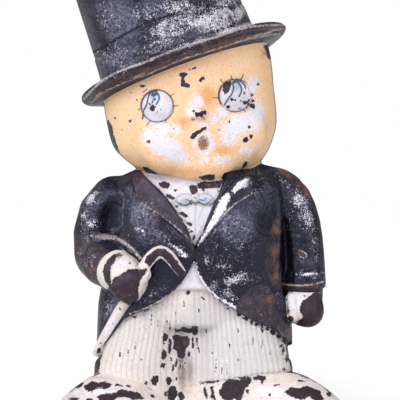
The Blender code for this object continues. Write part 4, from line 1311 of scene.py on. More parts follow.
        # Painted highlights on the black coat: the chest panels, the sleeves, the skirt, and the ridge by
        # the right arm.
        made.highlight_and_tint = [(144, 212, 16, 18, 0, 2), (122, 208, 2.6, 20, 0, 1.3), (150, 234, 20, 12, 20, 0.7),
            (236, 226, 20, 20, 0, 0.9), (128, 204, 4, 18, 0, 0.7), (250, 206, 14, 10, 0, 0.6), (88, 196, 8,
            20, 20, 0.5), (80, 250, 6, 16, 0, 0.5), (304, 200, 8, 18, -25, 0.4), (308, 262, 12, 6, 0, 0.5),
            (112, 310, 6, 20, 10, 0.5)]
        made.rust = [(276, 229, 5, 10, 4, 1.1), (274, 252, 6, 9, 0, 1), (276, 276, 6, 14, 0, 0.9), (284,
            172, 16, 6, 30, 0.9), (305, 190, 6, 14, -30, 0.9), (302, 254, 4, 2.4, 0, 1.1), (312, 286, 12, 2,
            0, 0.8), (272, 300, 8, 12, 0, 0.6), (289, 330, 7, 10, 0, 0.7), (92, 270, 12, 8, 0, 0.45)]
        made.engraving = [Line((141.5, 206, 162, 219, 181, 235, 190, 245), 0.8, -0.35), Line((147, 199, 166,
            212, 182, 226, 189, 237), 0.7, -0.22), Line((254, 197, 233, 210, 216, 229, 203.5, 244.5), 0.8,
            -0.35), Line((249, 193.5, 231, 203.5, 213, 223, 202, 239), 0.7, -0.22), Line((121, 184, 123.5,
            198, 121.5, 213, 122, 226), 1.6, -0.8), Line((276, 182, 279.5, 205, 279, 240, 278, 285, 281,
            315), 1.6, 0.5), Line((131, 178, 136, 186, 134, 194), 1.5, 0.5), Line((137, 180, 142, 188, 141,
            198), 1.3, -0.4), Line((88, 236, 104, 236, 118, 238.5, 130, 247, 140, 259), 1.7, 0.65),
            Line((96, 241.5, 110, 243, 124, 251), 1.1, -0.4), Line((92, 250, 104, 250, 114, 255), 1.4,
            -0.25), Line((130, 246, 146, 236, 160, 236), 2.2, 0.4), Line((117, 183, 121, 192, 128, 197),
            1.2, -0.5), Line((300, 262, 311, 264, 320, 262), 1.6, 0.2), Line((195.5, 247, 194.5, 255, 193.5,
            264), 0.8, -0.6)]
        return made


@dataclass
class Hands(SubAssembly):
    """The cuffs, and the hands closed under them."""

    part = Part.HANDS
    paint = Paint.CREAM
    cuff_radius: float = 9.2

    def forms(self) -> list[Form]:
        """The part's solid forms.

        Returns:
            The forms.
        """
        cuff = self.cuff_radius
        x, y, z = DRAWING.spot(303.8, 308, -5.2)
        made = [Limb(((-38, -17.5, 72.6, 9.6), (-34.6, -21, 70.4, cuff)), blend=0.3),
                Egg(DRAWING.spot(129.5, 281.5, -24.5), (8, 8.4, 8.6), (0, 30, 0), blend=0.9),
                Limb(((47.9, -4, 67.5, cuff), (47.9, -4.4, 61, 8.9)), blend=0.3),
                Egg((x, y, z + 0.6), (9, 8.8, 9), blend=0.9),
                Egg((x + 2.4, y - 1, z - 2.2), (6.4, 8.2, 6.4), blend=2)]
        made += [Egg(DRAWING.spot(u, v, -27), (3, 4.6, 3.2), blend=1.2)
                 for u, v in ((115, 286), (120, 293), (127, 296.5), (134.5, 294.5))]
        x, y, z = DRAWING.spot(144.5, 271, -30)
        made.append(Limb(((x - 3, y + 2, z - 6.5, 2.2), (x + 0.6, y + 0.8, z - 1.8, 2.4),
                          (x - 0.4, y + 1, z + 2, 2.5)), blend=0.8))
        x, y, z = DRAWING.spot(291, 307, -12)
        made.append(Limb(((x, y, z + 3.6, 2.8), (x + 0.8, y - 0.5, z - 4.4, 2.6)), blend=0.8))
        return made

    def wear(self) -> Wear:
        """The part's marks.

        Returns:
            The marks.
        """
        made = Wear()
        made.chip = [(110, 284, 114, 278, 121, 274.5, 127, 270, 134, 268.5, 140, 269.5, 146, 268, 147, 272,
            142.5, 277, 140, 283, 138.5, 289, 139, 298, 134, 308, 122, 307, 113, 299, 107, 290), (103.5,
            268, 107, 260, 113, 254.5, 119.5, 252.5, 123, 255, 116, 258.5, 111, 266, 109.5, 277, 111.5, 287,
            107.5, 286, 103.5, 277), (311.5, 285, 313, 293.5, 308.5, 297, 301.5, 301, 299.5, 307, 300.5,
            313, 303, 317, 298, 321, 294.5, 325.5, 296, 334, 330, 334, 330, 285), (296.5, 291.5, 300, 288.5,
            303.5, 290.5, 301.5, 293, 298, 293.5), (285, 311, 288, 308.5, 290.5, 310.5, 289, 313.5, 286.5,
            314), (286, 318, 290.5, 315.5, 294, 318, 293.5, 322.5, 288, 322), (286, 299, 1, 1.6), (129.5,
            263, 0.9, 0.9), (118, 268.5, 0.7, 0.7), (305, 296, 0.8, 0.6)]
        made.primer = [(296, 300, 8, 10), (125, 262, 6, 4)]
        made.rust = [(121, 254.5, 6, 2, -20, 1.4), (287.5, 309, 3, 6, 0, 1.2), (149, 276, 1.6, 5, 20, 1),
            (102, 268, 2, 8, 20, 0.8), (290, 288, 6, 1.6, 0, 0.8), (304, 318, 5, 5, 0, 0.4), (140, 292, 5,
            5, 0, 0.4)]
        # Warm painted shading at the hands' edges and under the left cuff.
        made.orange_and_warm_shading = [(290, 292, 10, 4, 0, 0.6), (146, 284, 4, 8, 0, 0.8), (108, 272, 4, 14, 0, 0.6)]
        made.engraving = [Line((113, 287, 109.5, 276, 112.5, 264, 121, 256.5), 0.9, -0.4), Line((284, 295.5,
            300, 296.5, 318, 295.5), 0.9, -0.35), Line((306, 302, 304, 314, 299, 325), 1, -0.35), Line((313,
            301, 313, 314, 309, 326), 1, -0.3), Line((119, 296, 124, 288, 131, 282), 0.9, -0.3), Line((128,
            300, 131.5, 291, 137, 285), 0.9, -0.3)]
        return made


@dataclass
class Cane(SubAssembly):
    """The walking cane: its shaft lies on the coat and the leg, and its crook over the hand."""

    part = Part.CANE
    paint = Paint.CREAM
    shaft_radius: float = 2.35
    shaft: Sequence[Place] = ((97.5, 351.5, -9.5), (107, 333, -16.5), (118, 313, -21.5),
                              (131, 293, -24.5))
    crook: Sequence[Numbers] = ((139, 276, -27, 2.4), (146, 264.5, -28, 2.7),
                                (152, 256.4, -28.8, 2.85), (160.5, 251.8, -29.4, 2.9),
                                (168.6, 256, -29.6, 2.75), (174.6, 263.4, -29.6, 2.5),
                                (180.6, 271.6, -29.4, 2.2))

    def forms(self) -> list[Form]:
        """The part's solid forms.

        Returns:
            The forms.
        """
        shaft = [(*DRAWING.spot(*place), self.shaft_radius) for place in self.shaft]
        crook = [(*DRAWING.spot(*place), radius) for *place, radius in self.crook]
        return [Limb(shaft, blend=0.3), Limb(smooth_path(crook, 2), blend=0.3)]

    def wear(self) -> Wear:
        """The part's marks.

        Returns:
            The marks.
        """
        top = (148, 262.5, 151, 258, 155, 254.5, 160.5, 252, 168, 256.5, 174, 264, 180, 271.5, 183, 275)
        made = Wear()
        made.chip = [Line(top, 4.1), (99, 350.5, 3, 1.5, -60), (128.5, 302.5, 4.2, 2.4, 40), (112.5, 323,
            0.9, 0.4, 60), (108, 335.5, 1, 0.5, 60), (120, 309, 1, 0.5, 60), (104.5, 333, 0.7, 0.4), (116,
            330, 1.2, 0.7, 60), (101, 343, 0.6, 0.5)]
        made.primer = [(112, 326, 4, 14, 28)]
        # Warm painted shading along the cane's shaft and at the foot of its crook.
        made.orange_and_warm_shading = [(103, 346, 5, 6, 0, 0.6), (124, 308, 5, 5, 0, 0.5), (148, 262, 4, 5, 0, 0.8)]
        made.rust = [(160, 253, 10, 4, 0, 0.5), (98, 352, 5, 3, 0, 0.8), (131, 304, 4, 3, 0, 0.7)]
        made.engraving = [Line((162, 257, 169, 260, 177, 269), 0.7, -0.3)]
        return made


LEG_RINGS = ((0, 1, 0.97), (0.3, 0.98, 1), (0.58, 0.92, 0.99), (0.75, 0.85, 0.95), (1, 0.72, 0.78))
HEM_RINGS = ((0, 0.985, 0.985), (0.25, 1, 1), (0.7, 0.99, 0.995), (1, 0.955, 0.975))
HIP_RINGS = ((0, 0.86, 0.8), (0.08, 0.95, 0.88), (0.25, 1, 0.95), (0.55, 1, 1), (0.8, 0.98, 1),
             (1, 0.94, 0.99))

# Chips that run on from the trousers' hem over the left shoe.
INSTEP_CHIPS = ((219, 392, 222, 384, 226, 379.5, 232, 378.5, 238, 380.5, 245, 377.5, 252, 378.5, 250, 384,
    246, 388, 240, 403, 234, 398, 230, 403, 224, 400, 221, 397), (252.5, 377.5, 259, 375.5, 267, 376, 266,
    379, 262, 381.5, 258, 379.5, 254, 380), (203, 389, 205, 386, 207, 392, 208, 399, 205, 398), (210, 387,
    213, 386, 214, 394, 215, 400, 211, 398))


@dataclass(frozen=True)
class LegPlace:
    """Where one leg stands, in mm, and how its shoe is turned, in degrees."""

    foot_x: float
    top_x: float
    half_width: float
    shoe_x: float
    shoe_y: float
    toe_out: float


LEGS = (LegPlace(-30.7, -26, 18.7, -39.6, -14.5, -40), LegPlace(21.4, 17.6, 22, 38.6, -14, 50))


@dataclass
class Trousers(SubAssembly):
    """The ribbed trousers: two legs with turned-up hems, and the web cast between them."""

    part = Part.TROUSERS
    paint = Paint.CREAM
    leg_depth: float = 22
    hem: float = 22
    hem_height: float = 8.6
    hem_step: float = 0.8
    web: Point = (-17.8, 5)
    web_depth: float = 13
    rib_steps: float = 5.1
    rib_depth: float = 0.34

    def forms(self) -> list[Form]:
        """The part's solid forms.

        Returns:
            The forms.
        """
        made: list[Form] = [
            Trunk(HIP_RINGS, (-2.5, 0, CROTCH), (-2.5, 0, WAIST + 2.5), 41.5, 23.8, 2.6, rounding=3),
            Bar((self.web[0], -self.web_depth, 0), (self.web[1], self.web_depth, CROTCH + 4), 2,
                blend=1.5)]
        for leg in LEGS:
            foot = (leg.foot_x, 0, self.hem)
            made.append(Trunk(LEG_RINGS, (leg.foot_x, 0, self.hem - 11), (leg.top_x, 0, CROTCH + 25),
                              leg.half_width, self.leg_depth, 2.4, blend=1.8))
            made.append(Trunk(HEM_RINGS, foot, (*foot[:2], self.hem + self.hem_height),
                              leg.half_width * 0.985, self.leg_depth * 0.97 + self.hem_step, 2.4,
                              rounding=1, blend=0.8))
        return made

    def ribs(self) -> list[Line]:
        """The grooves down the front of the legs.

        Returns:
            The grooves.
        """
        made = []
        for start, stop, lean in ((104, 178, -13), (196, 294, 9)):
            middle = (start + stop) / 2
            for u in np.arange(start, stop, self.rib_steps):
                spread = (u - middle) / (stop - middle)
                foot = u + lean * 0.5 + spread * 4
                made.append(Line((u - lean * 0.3, 262, u, 330, foot, 364, foot + spread, 386), 0.75,
                                 -self.rib_depth))
        return made

    def wear(self) -> Wear:
        """The part's marks.

        Returns:
            The marks.
        """
        dashes = [(u, v, 0.5, height) for u, v, height in ((151.6, 320, 3), (158, 324, 3.4), (166.9, 321,
            2.6), (175.8, 313, 2), (146, 330, 2), (184, 305, 2.2), (262, 345, 3.4), (222, 368, 3.4), (227,
            372, 3), (212, 352, 1.8), (135, 345, 2.4), (128, 352, 1.8), (141, 362, 2), (170, 328, 3), (246,
            352, 2), (253, 340, 2.4), (238, 331, 1.8), (270, 352, 1.8), (206, 330, 1.4), (232, 372, 2.6),
            (216, 366, 3.4), (160, 372, 1.3), (120, 356, 1.6), (192, 300, 1.6), (139, 324, 2.6), (144, 316,
            1.4), (199, 312, 1.6), (243, 318, 1.4), (230, 346, 1.3))]
        made = Wear()
        made.chip = [(162.5, 335, 165, 332.5, 168, 335, 167.5, 340, 165, 342, 166, 345, 162.5, 344.5),
            (161.5, 351, 164, 349.5, 167, 352, 166, 358, 163.5, 361, 161.5, 358), (160, 364, 163, 362.5,
            165.5, 364, 164, 368, 160.5, 367), (174, 328.5, 178, 329.5, 183, 327, 189, 328, 193, 325.5,
            197.5, 327, 198, 333, 195, 336, 192, 332.5, 187, 333, 182, 331.5, 177, 333), (172, 336, 176,
            334.5, 182, 336, 187, 335, 190, 339, 189, 346, 185, 349, 186, 355, 182, 360, 178, 357, 176, 351,
            172.5, 348, 174, 341), (169.5, 338, 172, 340, 171.5, 350, 169.5, 356, 168.5, 348), (191.5, 337,
            193, 336, 194.5, 343, 193, 350, 191.5, 346), (195.5, 337, 197, 339, 199.5, 348, 199.5, 353, 197,
            348), (188, 350, 190.5, 352, 189.5, 358, 187.5, 357), (150.5, 381, 153, 376.5, 158, 376, 159.5,
            380, 156, 385.5, 152, 385), (143.5, 384, 146, 380, 148, 383, 146.5, 388, 143.5, 388), (165.5,
            380, 168, 376.5, 171.5, 378, 172, 383, 168.5, 385.5), (167, 390, 171, 385.5, 176, 387, 177.5,
            394, 173, 401, 167.5, 400), (178, 392, 182, 391, 185, 397, 182, 402, 178.5, 400), *INSTEP_CHIPS,
            (86, 338, 104, 337, 103, 350, 100, 362, 98, 374, 84, 374), (286.5, 343, 296, 343, 302, 374,
            294.5, 374, 290.5, 358), (176.5, 362, 1, 3.4, 10), (180.5, 367, 1.1, 3, -8), (173, 368, 0.9,
            2.6), (176.5, 378, 1.1, 2.4), (171.5, 360, 0.9, 2), (184.5, 364, 0.8, 2), (165.5, 394, 1.2,
            2.4), (202.5, 298, 2.4, 1, 50), (188.5, 292.5, 1.4, 2, 30), (283.5, 351, 1.2, 4.4, 10), (286.5,
            359, 1.5, 3.4), (284.5, 369, 2.2, 1.8), (281.5, 346, 2.2, 1.2), (209, 382.5, 9, 1.1, -6), (240,
            378, 9, 0.9, -3), (118, 379, 2, 0.7), (103, 377, 2.6, 0.6), (176, 321, 0.7, 1.2), (239, 314,
            2.2, 2.4), (246, 318.5, 2.6, 2.2), (252, 322, 1.4, 3.6), (257, 324, 2, 2.4), (262, 327, 1.2, 4),
            (267, 328.5, 2.2, 2.4), (273, 332, 2, 3), (279, 336, 2.4, 2.6), (285, 341, 2.4, 3), (228, 308.5,
            1.6, 1.4), (146, 310, 3, 0.9, -20), (134, 317, 2, 1), *dashes]
        made.rust = [(183, 343, 9, 12, 0, 0.45), (238, 360, 1.5, 1.4, 0, 2.2), (186, 326, 7, 1.6, 0, 0.8),
            (190, 290, 3, 4, 0, 0.5), (247, 377.5, 18, 1.6, 0, 0.5), (196, 345, 2, 6, 0, 0.8)]
        # Warm painted shading at the turn-ups, under the coat's hem, along the legs' outer edges and in the
        # recess between the legs.
        made.orange_and_warm_shading = [(112, 365, 26, 4, 10, 0.6), (96, 356, 4, 16, 0, 0.5), (262, 333, 26, 4, 28, 0.5),
            (150, 317, 24, 3, -22, 0.5), (184, 366, 10, 36, 0, 1.2), (247, 365, 44, 2, -8, 0.4), (290, 352,
            5, 14, 0, 0.5), (240, 360, 6, 4, 0, 0.6)]
        made.highlight_and_tint = [(228, 338, 62, 50, 0, 0.3), (140, 340, 40, 36, 0, 0.16)]
        # Painted shading in the recess between the legs, at the crotch, under the coat's hem and the
        # turn-ups, and along the left leg's outer edge.
        made.shading_and_dirt = [(182, 362, 7, 40, 0, 1), (190, 372, 8, 34, 0, 0.55), (186, 328, 9, 4, 0, 0.7), (262,
            330, 30, 3, 30, 0.5), (158, 313, 30, 3, -25, 0.4), (288, 356, 3, 14, 0, 0.5), (224, 380, 26, 2,
            -6, 0.4)]
        made.engraving = [*self.ribs(), Line((90, 376, 112, 382.5, 135, 386.5, 150, 388), 1.2, -0.5),
            Line((200, 383, 235, 379, 262, 374, 298, 372), 1.2, -0.5)]
        return made


SHOE_RINGS = (
    (-0.2, 0.9, 0.9), (0.13, 0.97, 0.97), (0.33, 0.98, 1), (0.52, 0.93, 0.93, 0, 1.5),
    (0.72, 0.79, 0.79, 0, 4.5), (0.9, 0.6, 0.62, 0, 8), (1, 0.44, 0.5, 0, 10.5))
HEEL_RINGS = ((-0.2, 1, 1), (0.6, 1, 1), (1.2, 0.94, 0.94))
SOLE_RINGS = ((-0.3, 1, 1), (1, 1, 1))


@dataclass
class Shoes(SubAssembly):
    """The broad shoes with white uppers, each on a dark sole with a lift under its heel."""

    part = Part.SHOES
    paint = Paint.CREAM
    height: float = 26
    half_length: float = 32.5
    half_width: float = 22.5
    welt_height: float = 3
    welt_step: float = 1
    heel_depth: float = 21.3
    heel_height: float = 22
    lift: float = 6

    def forms(self) -> list[Form]:
        """The part's solid forms.

        Returns:
            The forms.
        """
        made: list[Form] = []
        back, step = self.heel_depth / 2, self.welt_step
        for leg in LEGS:
            toe, heel, heel_width = (leg.shoe_x, leg.shoe_y), (leg.foot_x, back), leg.half_width * 0.88
            made += [
                Trunk(SHOE_RINGS, (*toe, 0), (*toe, self.height), self.half_width, self.half_length,
                      2, leg.toe_out, rounding=3, blend=0.8),
                Trunk(SOLE_RINGS, (*toe, 0), (*toe, self.welt_height), self.half_width * 0.97 + step,
                      self.half_length * 0.97 + step, 2, leg.toe_out, rounding=0.6,
                      paint=Paint.BLACK, blend=0.3),
                Trunk(HEEL_RINGS, (*heel, 0), (*heel, self.heel_height), heel_width, back, 2.4,
                      paint=Paint.WHITE),
                Trunk(SOLE_RINGS, (*heel, 0), (*heel, self.lift), heel_width + step, back + step,
                      2.4, rounding=0.6, paint=Paint.BLACK, blend=0.3)]
        return made

    def wear(self) -> Wear:
        """The part's marks.

        Returns:
            The marks.
        """
        made = Wear()
        made.chip = [(64, 390, 70, 384.5, 79, 381.5, 84, 383, 81, 387, 75, 388.5, 70, 392), (84, 386, 92,
            380.5, 98, 382.5, 105, 380.5, 112, 384.5, 108, 389, 99, 387.5, 92, 391.5, 86, 390.5), (97, 397,
            104, 392.5, 112, 393.5, 122, 389.5, 141, 393, 144, 399, 134, 400, 127, 396.5, 118, 397.5, 110,
            402, 100, 401), *INSTEP_CHIPS, (284, 392, 291, 386.5, 298, 388, 306, 385.5, 320, 391, 324, 399,
            316, 401, 309, 397, 301, 400, 292, 397.5), Line((57, 400, 62, 392.5, 68, 386, 78, 379.5, 92,
            374.5), 0.9), Line((300, 375, 314, 380.5, 326, 389, 333, 397), 0.5), (206, 389, 1.3, 4.2),
            (210.5, 394, 1.4, 5.2), (225, 378, 1.4, 2.6), (233, 377, 1.4, 3), (247, 379, 5, 1.6, -8), (256,
            378, 4, 1.4), (262, 382, 1.3, 2.6), (237, 396, 3, 6), (215, 389, 1.2, 3.8), (202, 396, 1, 3.2),
            (247, 391, 1.6, 3.4), (118, 385, 4, 1.1, 10), (74, 399, 5, 1.8), (60, 398, 2.6, 1.6), (329, 394,
            2.4, 2.2), (270, 395, 1.2, 1.2), (90, 400, 3.4, 1.4), (152, 396, 2.2, 1.6), (204, 384, 3.6,
            0.9), (213, 401, 5, 2), (128, 386, 2, 0.8), (276, 385, 2.4, 0.9), (300, 381, 3, 0.8)]
        made.primer = [(270, 392, 14, 6), (100, 393, 24, 3), (320, 381, 9, 5)]
        made.scuff = [Line((70, 383, 82, 378.5, 98, 377.5, 116, 380.5), 0.5)]
        made.rust = [(120, 384, 12, 2, 0, 0.4), (150, 390, 6, 4, 0, 0.5)]
        # Warm painted shading on the shoes just under the turn-ups.
        made.orange_and_warm_shading = [(118, 381, 30, 3, 8, 0.8), (270, 381, 26, 4, 0, 0.6), (142, 390, 12, 5, 20, 0.8), (76,
            382, 12, 3, -20, 0.5)]
        made.engraving = [Line((62, 397, 84, 393, 112, 394, 140, 399), 1, -0.3)]
        return made


@dataclass
class Space:
    """A block of space between two corners, with a distance at each of its samples, in mm."""

    low: Array
    high: Array
    pitch: float

    def __post_init__(self) -> None:
        """Sets every sample far from any form."""
        counts = np.ceil((self.high - self.low) / self.pitch).astype(int) + 1
        self.axes = [(start + np.arange(count) * self.pitch).astype(np.float32)
                     for start, count in zip(self.low, counts)]
        self.values = np.full(counts, FAR, np.float32)

    def change(self, form: Form, cut: bool) -> None:
        """Joins a form to what is there, or cuts it out.

        Args:
            form: The form.
            cut: Whether it is cut out.
        """
        low, high = form.box()
        margin = MARGIN + form.blend
        part = tuple(slice(*np.searchsorted(axis, ends)) for axis, *ends in
                     zip(self.axes, low - margin, high + margin))
        kept = self.values[part]
        if kept.size:
            at = np.ix_(*(axis[span] for axis, span in zip(self.axes, part)))
            away = form.distance(at).astype(np.float32)
            work, sign = (soft_max, -1) if cut else (soft_min, 1)
            self.values[part] = work(kept, sign * away, form.blend)

    def read(self, places: Array) -> Array:
        """The distances at some places, between the samples too.

        Args:
            places: The places, one to a row, in mm.

        Returns:
            The distances.
        """
        top = np.array(self.values.shape) - 1.001
        at = np.clip((places - self.low) / self.pitch, 0, top)
        cell = at.astype(np.int32)
        share = at - cell
        total = 0
        for corner in np.ndindex(2, 2, 2):
            weight = np.prod(np.where(corner, share, 1 - share), axis=1)
            total = total + weight * self.values[tuple((cell + corner).T)]
        return total


@dataclass
class Skin:
    """A surface of quads: its points in mm, the quads' corners, and the points' normals."""

    points: Array
    quads: Array

    def __post_init__(self) -> None:
        """Finds each point's normal."""
        self.find_normals()

    @classmethod
    def of(cls, space: Space) -> "Skin":
        """The skin of the solid in a block of space.

        Args:
            space: The block.

        Returns:
            The skin, its quads facing out.
        """
        values = space.values
        inside = values < 0
        corners = np.array(list(np.ndindex(2, 2, 2)))
        count = np.zeros(np.array(values.shape) - 1, np.uint8)
        for corner in corners:
            count += inside[tuple(slice(step, size - 1 + step)
                                  for step, size in zip(corner, values.shape))]
        mixed = (count > 0) & (count < 8)
        cells = np.argwhere(mixed).astype(np.int32)
        index = np.full(mixed.shape, -1, np.int32)
        index[mixed] = np.arange(len(cells))
        near = values[tuple((cells[:, None, :] + corners[None]).transpose(2, 0, 1))]
        total = np.zeros((len(cells), 3), np.float32)
        crossings = np.zeros((len(cells), 1), np.float32)
        # A cell's point is the mean of the places where the skin crosses its twelve edges.
        for first, axis in np.ndindex(8, 3):
            if corners[first][axis]:
                continue
            second = first + (4, 2, 1)[axis]
            a, b = near[:, first], near[:, second]
            crossed = (a < 0) != (b < 0)
            share = np.where(crossed, a / np.where(crossed, a - b, 1), 0)
            spot = corners[first] + share[:, None] * (corners[second] - corners[first])
            total += np.where(crossed[:, None], spot, 0)
            crossings += crossed[:, None]
        quads = []
        # Where the skin crosses between two samples, a quad joins the four cells round them.
        for axis in range(3):
            one, two = (axis + 1) % 3, (axis + 2) % 3
            low = [slice(1, -1)] * 3
            high = list(low)
            low[axis], high[axis] = slice(0, -1), slice(1, None)
            start, stop = inside[tuple(low)], inside[tuple(high)]
            grid = np.argwhere(start != stop)
            facing = start[tuple(grid.T)]
            ring = []
            for step_one, step_two in ((0, 0), (1, 0), (1, 1), (0, 1)):
                cell = grid.copy()
                cell[:, one] += step_one
                cell[:, two] += step_two
                ring.append(index[tuple(cell.T)])
            ring = np.array(ring).T
            quads.append(np.where(facing[:, None], ring, ring[:, ::-1]))
        return cls((cells + total / crossings) * space.pitch + space.low, np.vstack(quads))

    def find_normals(self) -> None:
        """Works out each point's normal from the quads round it."""
        a, b, c, d = (self.points[self.quads[:, corner]] for corner in range(4))
        facing = np.cross(c - a, d - b)
        total = np.zeros_like(self.points)
        for corner, axis in np.ndindex(4, 3):
            total[:, axis] += np.bincount(self.quads[:, corner], facing[:, axis], len(self.points))
        self.normals = total / np.maximum(np.linalg.norm(total, axis=1, keepdims=True), 1e-9)


@dataclass(frozen=True)
class Screw:
    """One slotted round-head screw in its recess, seen from behind."""

    name: str
    x: float
    z: float
    seat: float
    slot_turn: float
    recess_radius: float = 5.2
    head_radius: float = 3.9
    head_height: float = 2.6
    shank_radius: float = 2.08
    slot_width: float = 0.9
    slot_depth: float = 1.2
    edge: float = 0.6

    def recess(self) -> Rod:
        """The recess for the head in the rear casting."""
        return Rod(self.x, self.z, self.recess_radius, self.seat, 60, blend=0.6)

    def sculpt(self) -> Skin:
        """The head's skin: a low dome with a slot across it.

        Returns:
            The skin.
        """
        turn = math.radians(self.slot_turn)
        base = self.seat + HEAD_GAP
        reach = np.array((self.head_radius + self.edge, 0, self.head_radius + self.edge))
        low = np.array((self.x, base - 1, self.z)) - reach
        high = np.array((self.x, base + self.head_height + self.edge, self.z)) + reach
        space = Space(low, high, SCREW_PITCH)
        x, y, z = np.ix_(*space.axes)
        x, z = x - self.x, z - self.z
        drop = (self.head_radius**2 - self.head_height**2) / (2 * self.head_height)
        ball = np.sqrt(x**2 + (y - base + drop) ** 2 + z**2) - (self.head_height + drop)
        shank = np.maximum(np.hypot(x, z) - self.shank_radius, y - base - 0.3)
        slot = np.maximum(np.abs(x * math.cos(turn) + z * math.sin(turn)) - self.slot_width / 2,
                          base + self.head_height - self.slot_depth - y)
        dome = soft_max(ball, base - y, 0.25)
        space.values = soft_max(np.minimum(dome, shank), -slot, 0.2).astype(np.float32)
        return Skin.of(space)


SCREWS = (Screw("upper_screw", -4.2, CHIN + 27, 31.2, 24),
          Screw("lower_screw", -2.5, WAIST - 9, 25.7, -38))


def linear(tone: str) -> tuple[float, ...]:
    """The colour that a shader needs for a colour written as six hex digits.

    Args:
        tone: The digits.

    Returns:
        Red, green, blue and one.
    """
    parts = [int(tone[start:start + 2], 16) / 255 for start in (0, 2, 4)]
    light = [part / 12.92 if part <= 0.04045 else ((part + 0.055) / 1.055) ** 2.4 for part in parts]
    return (*light, 1.0)


@dataclass(frozen=True)
class Finish:
    """One paint as it has aged, also each painted highlight and painted shading: its two tones, and how
    rough it is.
    """

    tone: str
    second: str
    roughness: float = 0.5


FINISHES = {
    Paint.BLACK: Finish("0D0E15", "1F1F2A", 0.29),
    Paint.FLESH: Finish("F9D8B2", "F3C190", 0.42),
    Paint.WHITE: Finish("EAE5EA", "D6D1DC"),
    Paint.CREAM: Finish("EEE4DF", "DCD0CC"),
}
IRON = Finish("251C1F", "483B40", 0.46)
PRIMER = Finish("F0ECF2", "DAD6E4", 0.6)
# A violet-grey painted highlight, laid on the black paint where the lamps would gleam on it.
PAINTED_HIGHLIGHT = Finish("2A2937", "6C6A80", 0.3)
RUST = Finish("5A3F36", "7C5846", 0.7)
# Orange on the flesh: paint on the cheeks, and painted shading under the brim, under the chin and at the
# face's sides.
FLESH_ORANGE_AND_SHADING = Finish("DC9650", "EAAE6C")
# Warm painted shading on the white and cream paints: under the coat's hem and the turn-ups, by the lapels
# and cuffs, and between the legs.
WARM_SHADING = Finish("C6B092", "AE947A")
# A blue-grey tint on the light paints: the irises, the bow, and a cool cast over the shirt and the
# trousers.
BLUE_TINT = Finish("A4B2C6", "B8C2D0")
LIP = Finish("85563F", "A8704F")
# Dark brown: painted shading in hollows, creases and grooves, and dirt in pits.
DIRT_AND_SHADING = Finish("3E302A", "5E4C3E", 0.7)
INK = Finish("1C2E44", "2E4258")
# Near-black painted shading, drawn on the black paint along the hatband's groove.
GROOVE_SHADING = Finish("0B0A10", "15141C", 0.6)
WORN_EDGE = Finish("AE9E9C", "DCD2CE")
STEEL = Finish("2A2422", "4A3E38")
CHIPPED = "2C1C18"
GLINT = "D6D6FF"


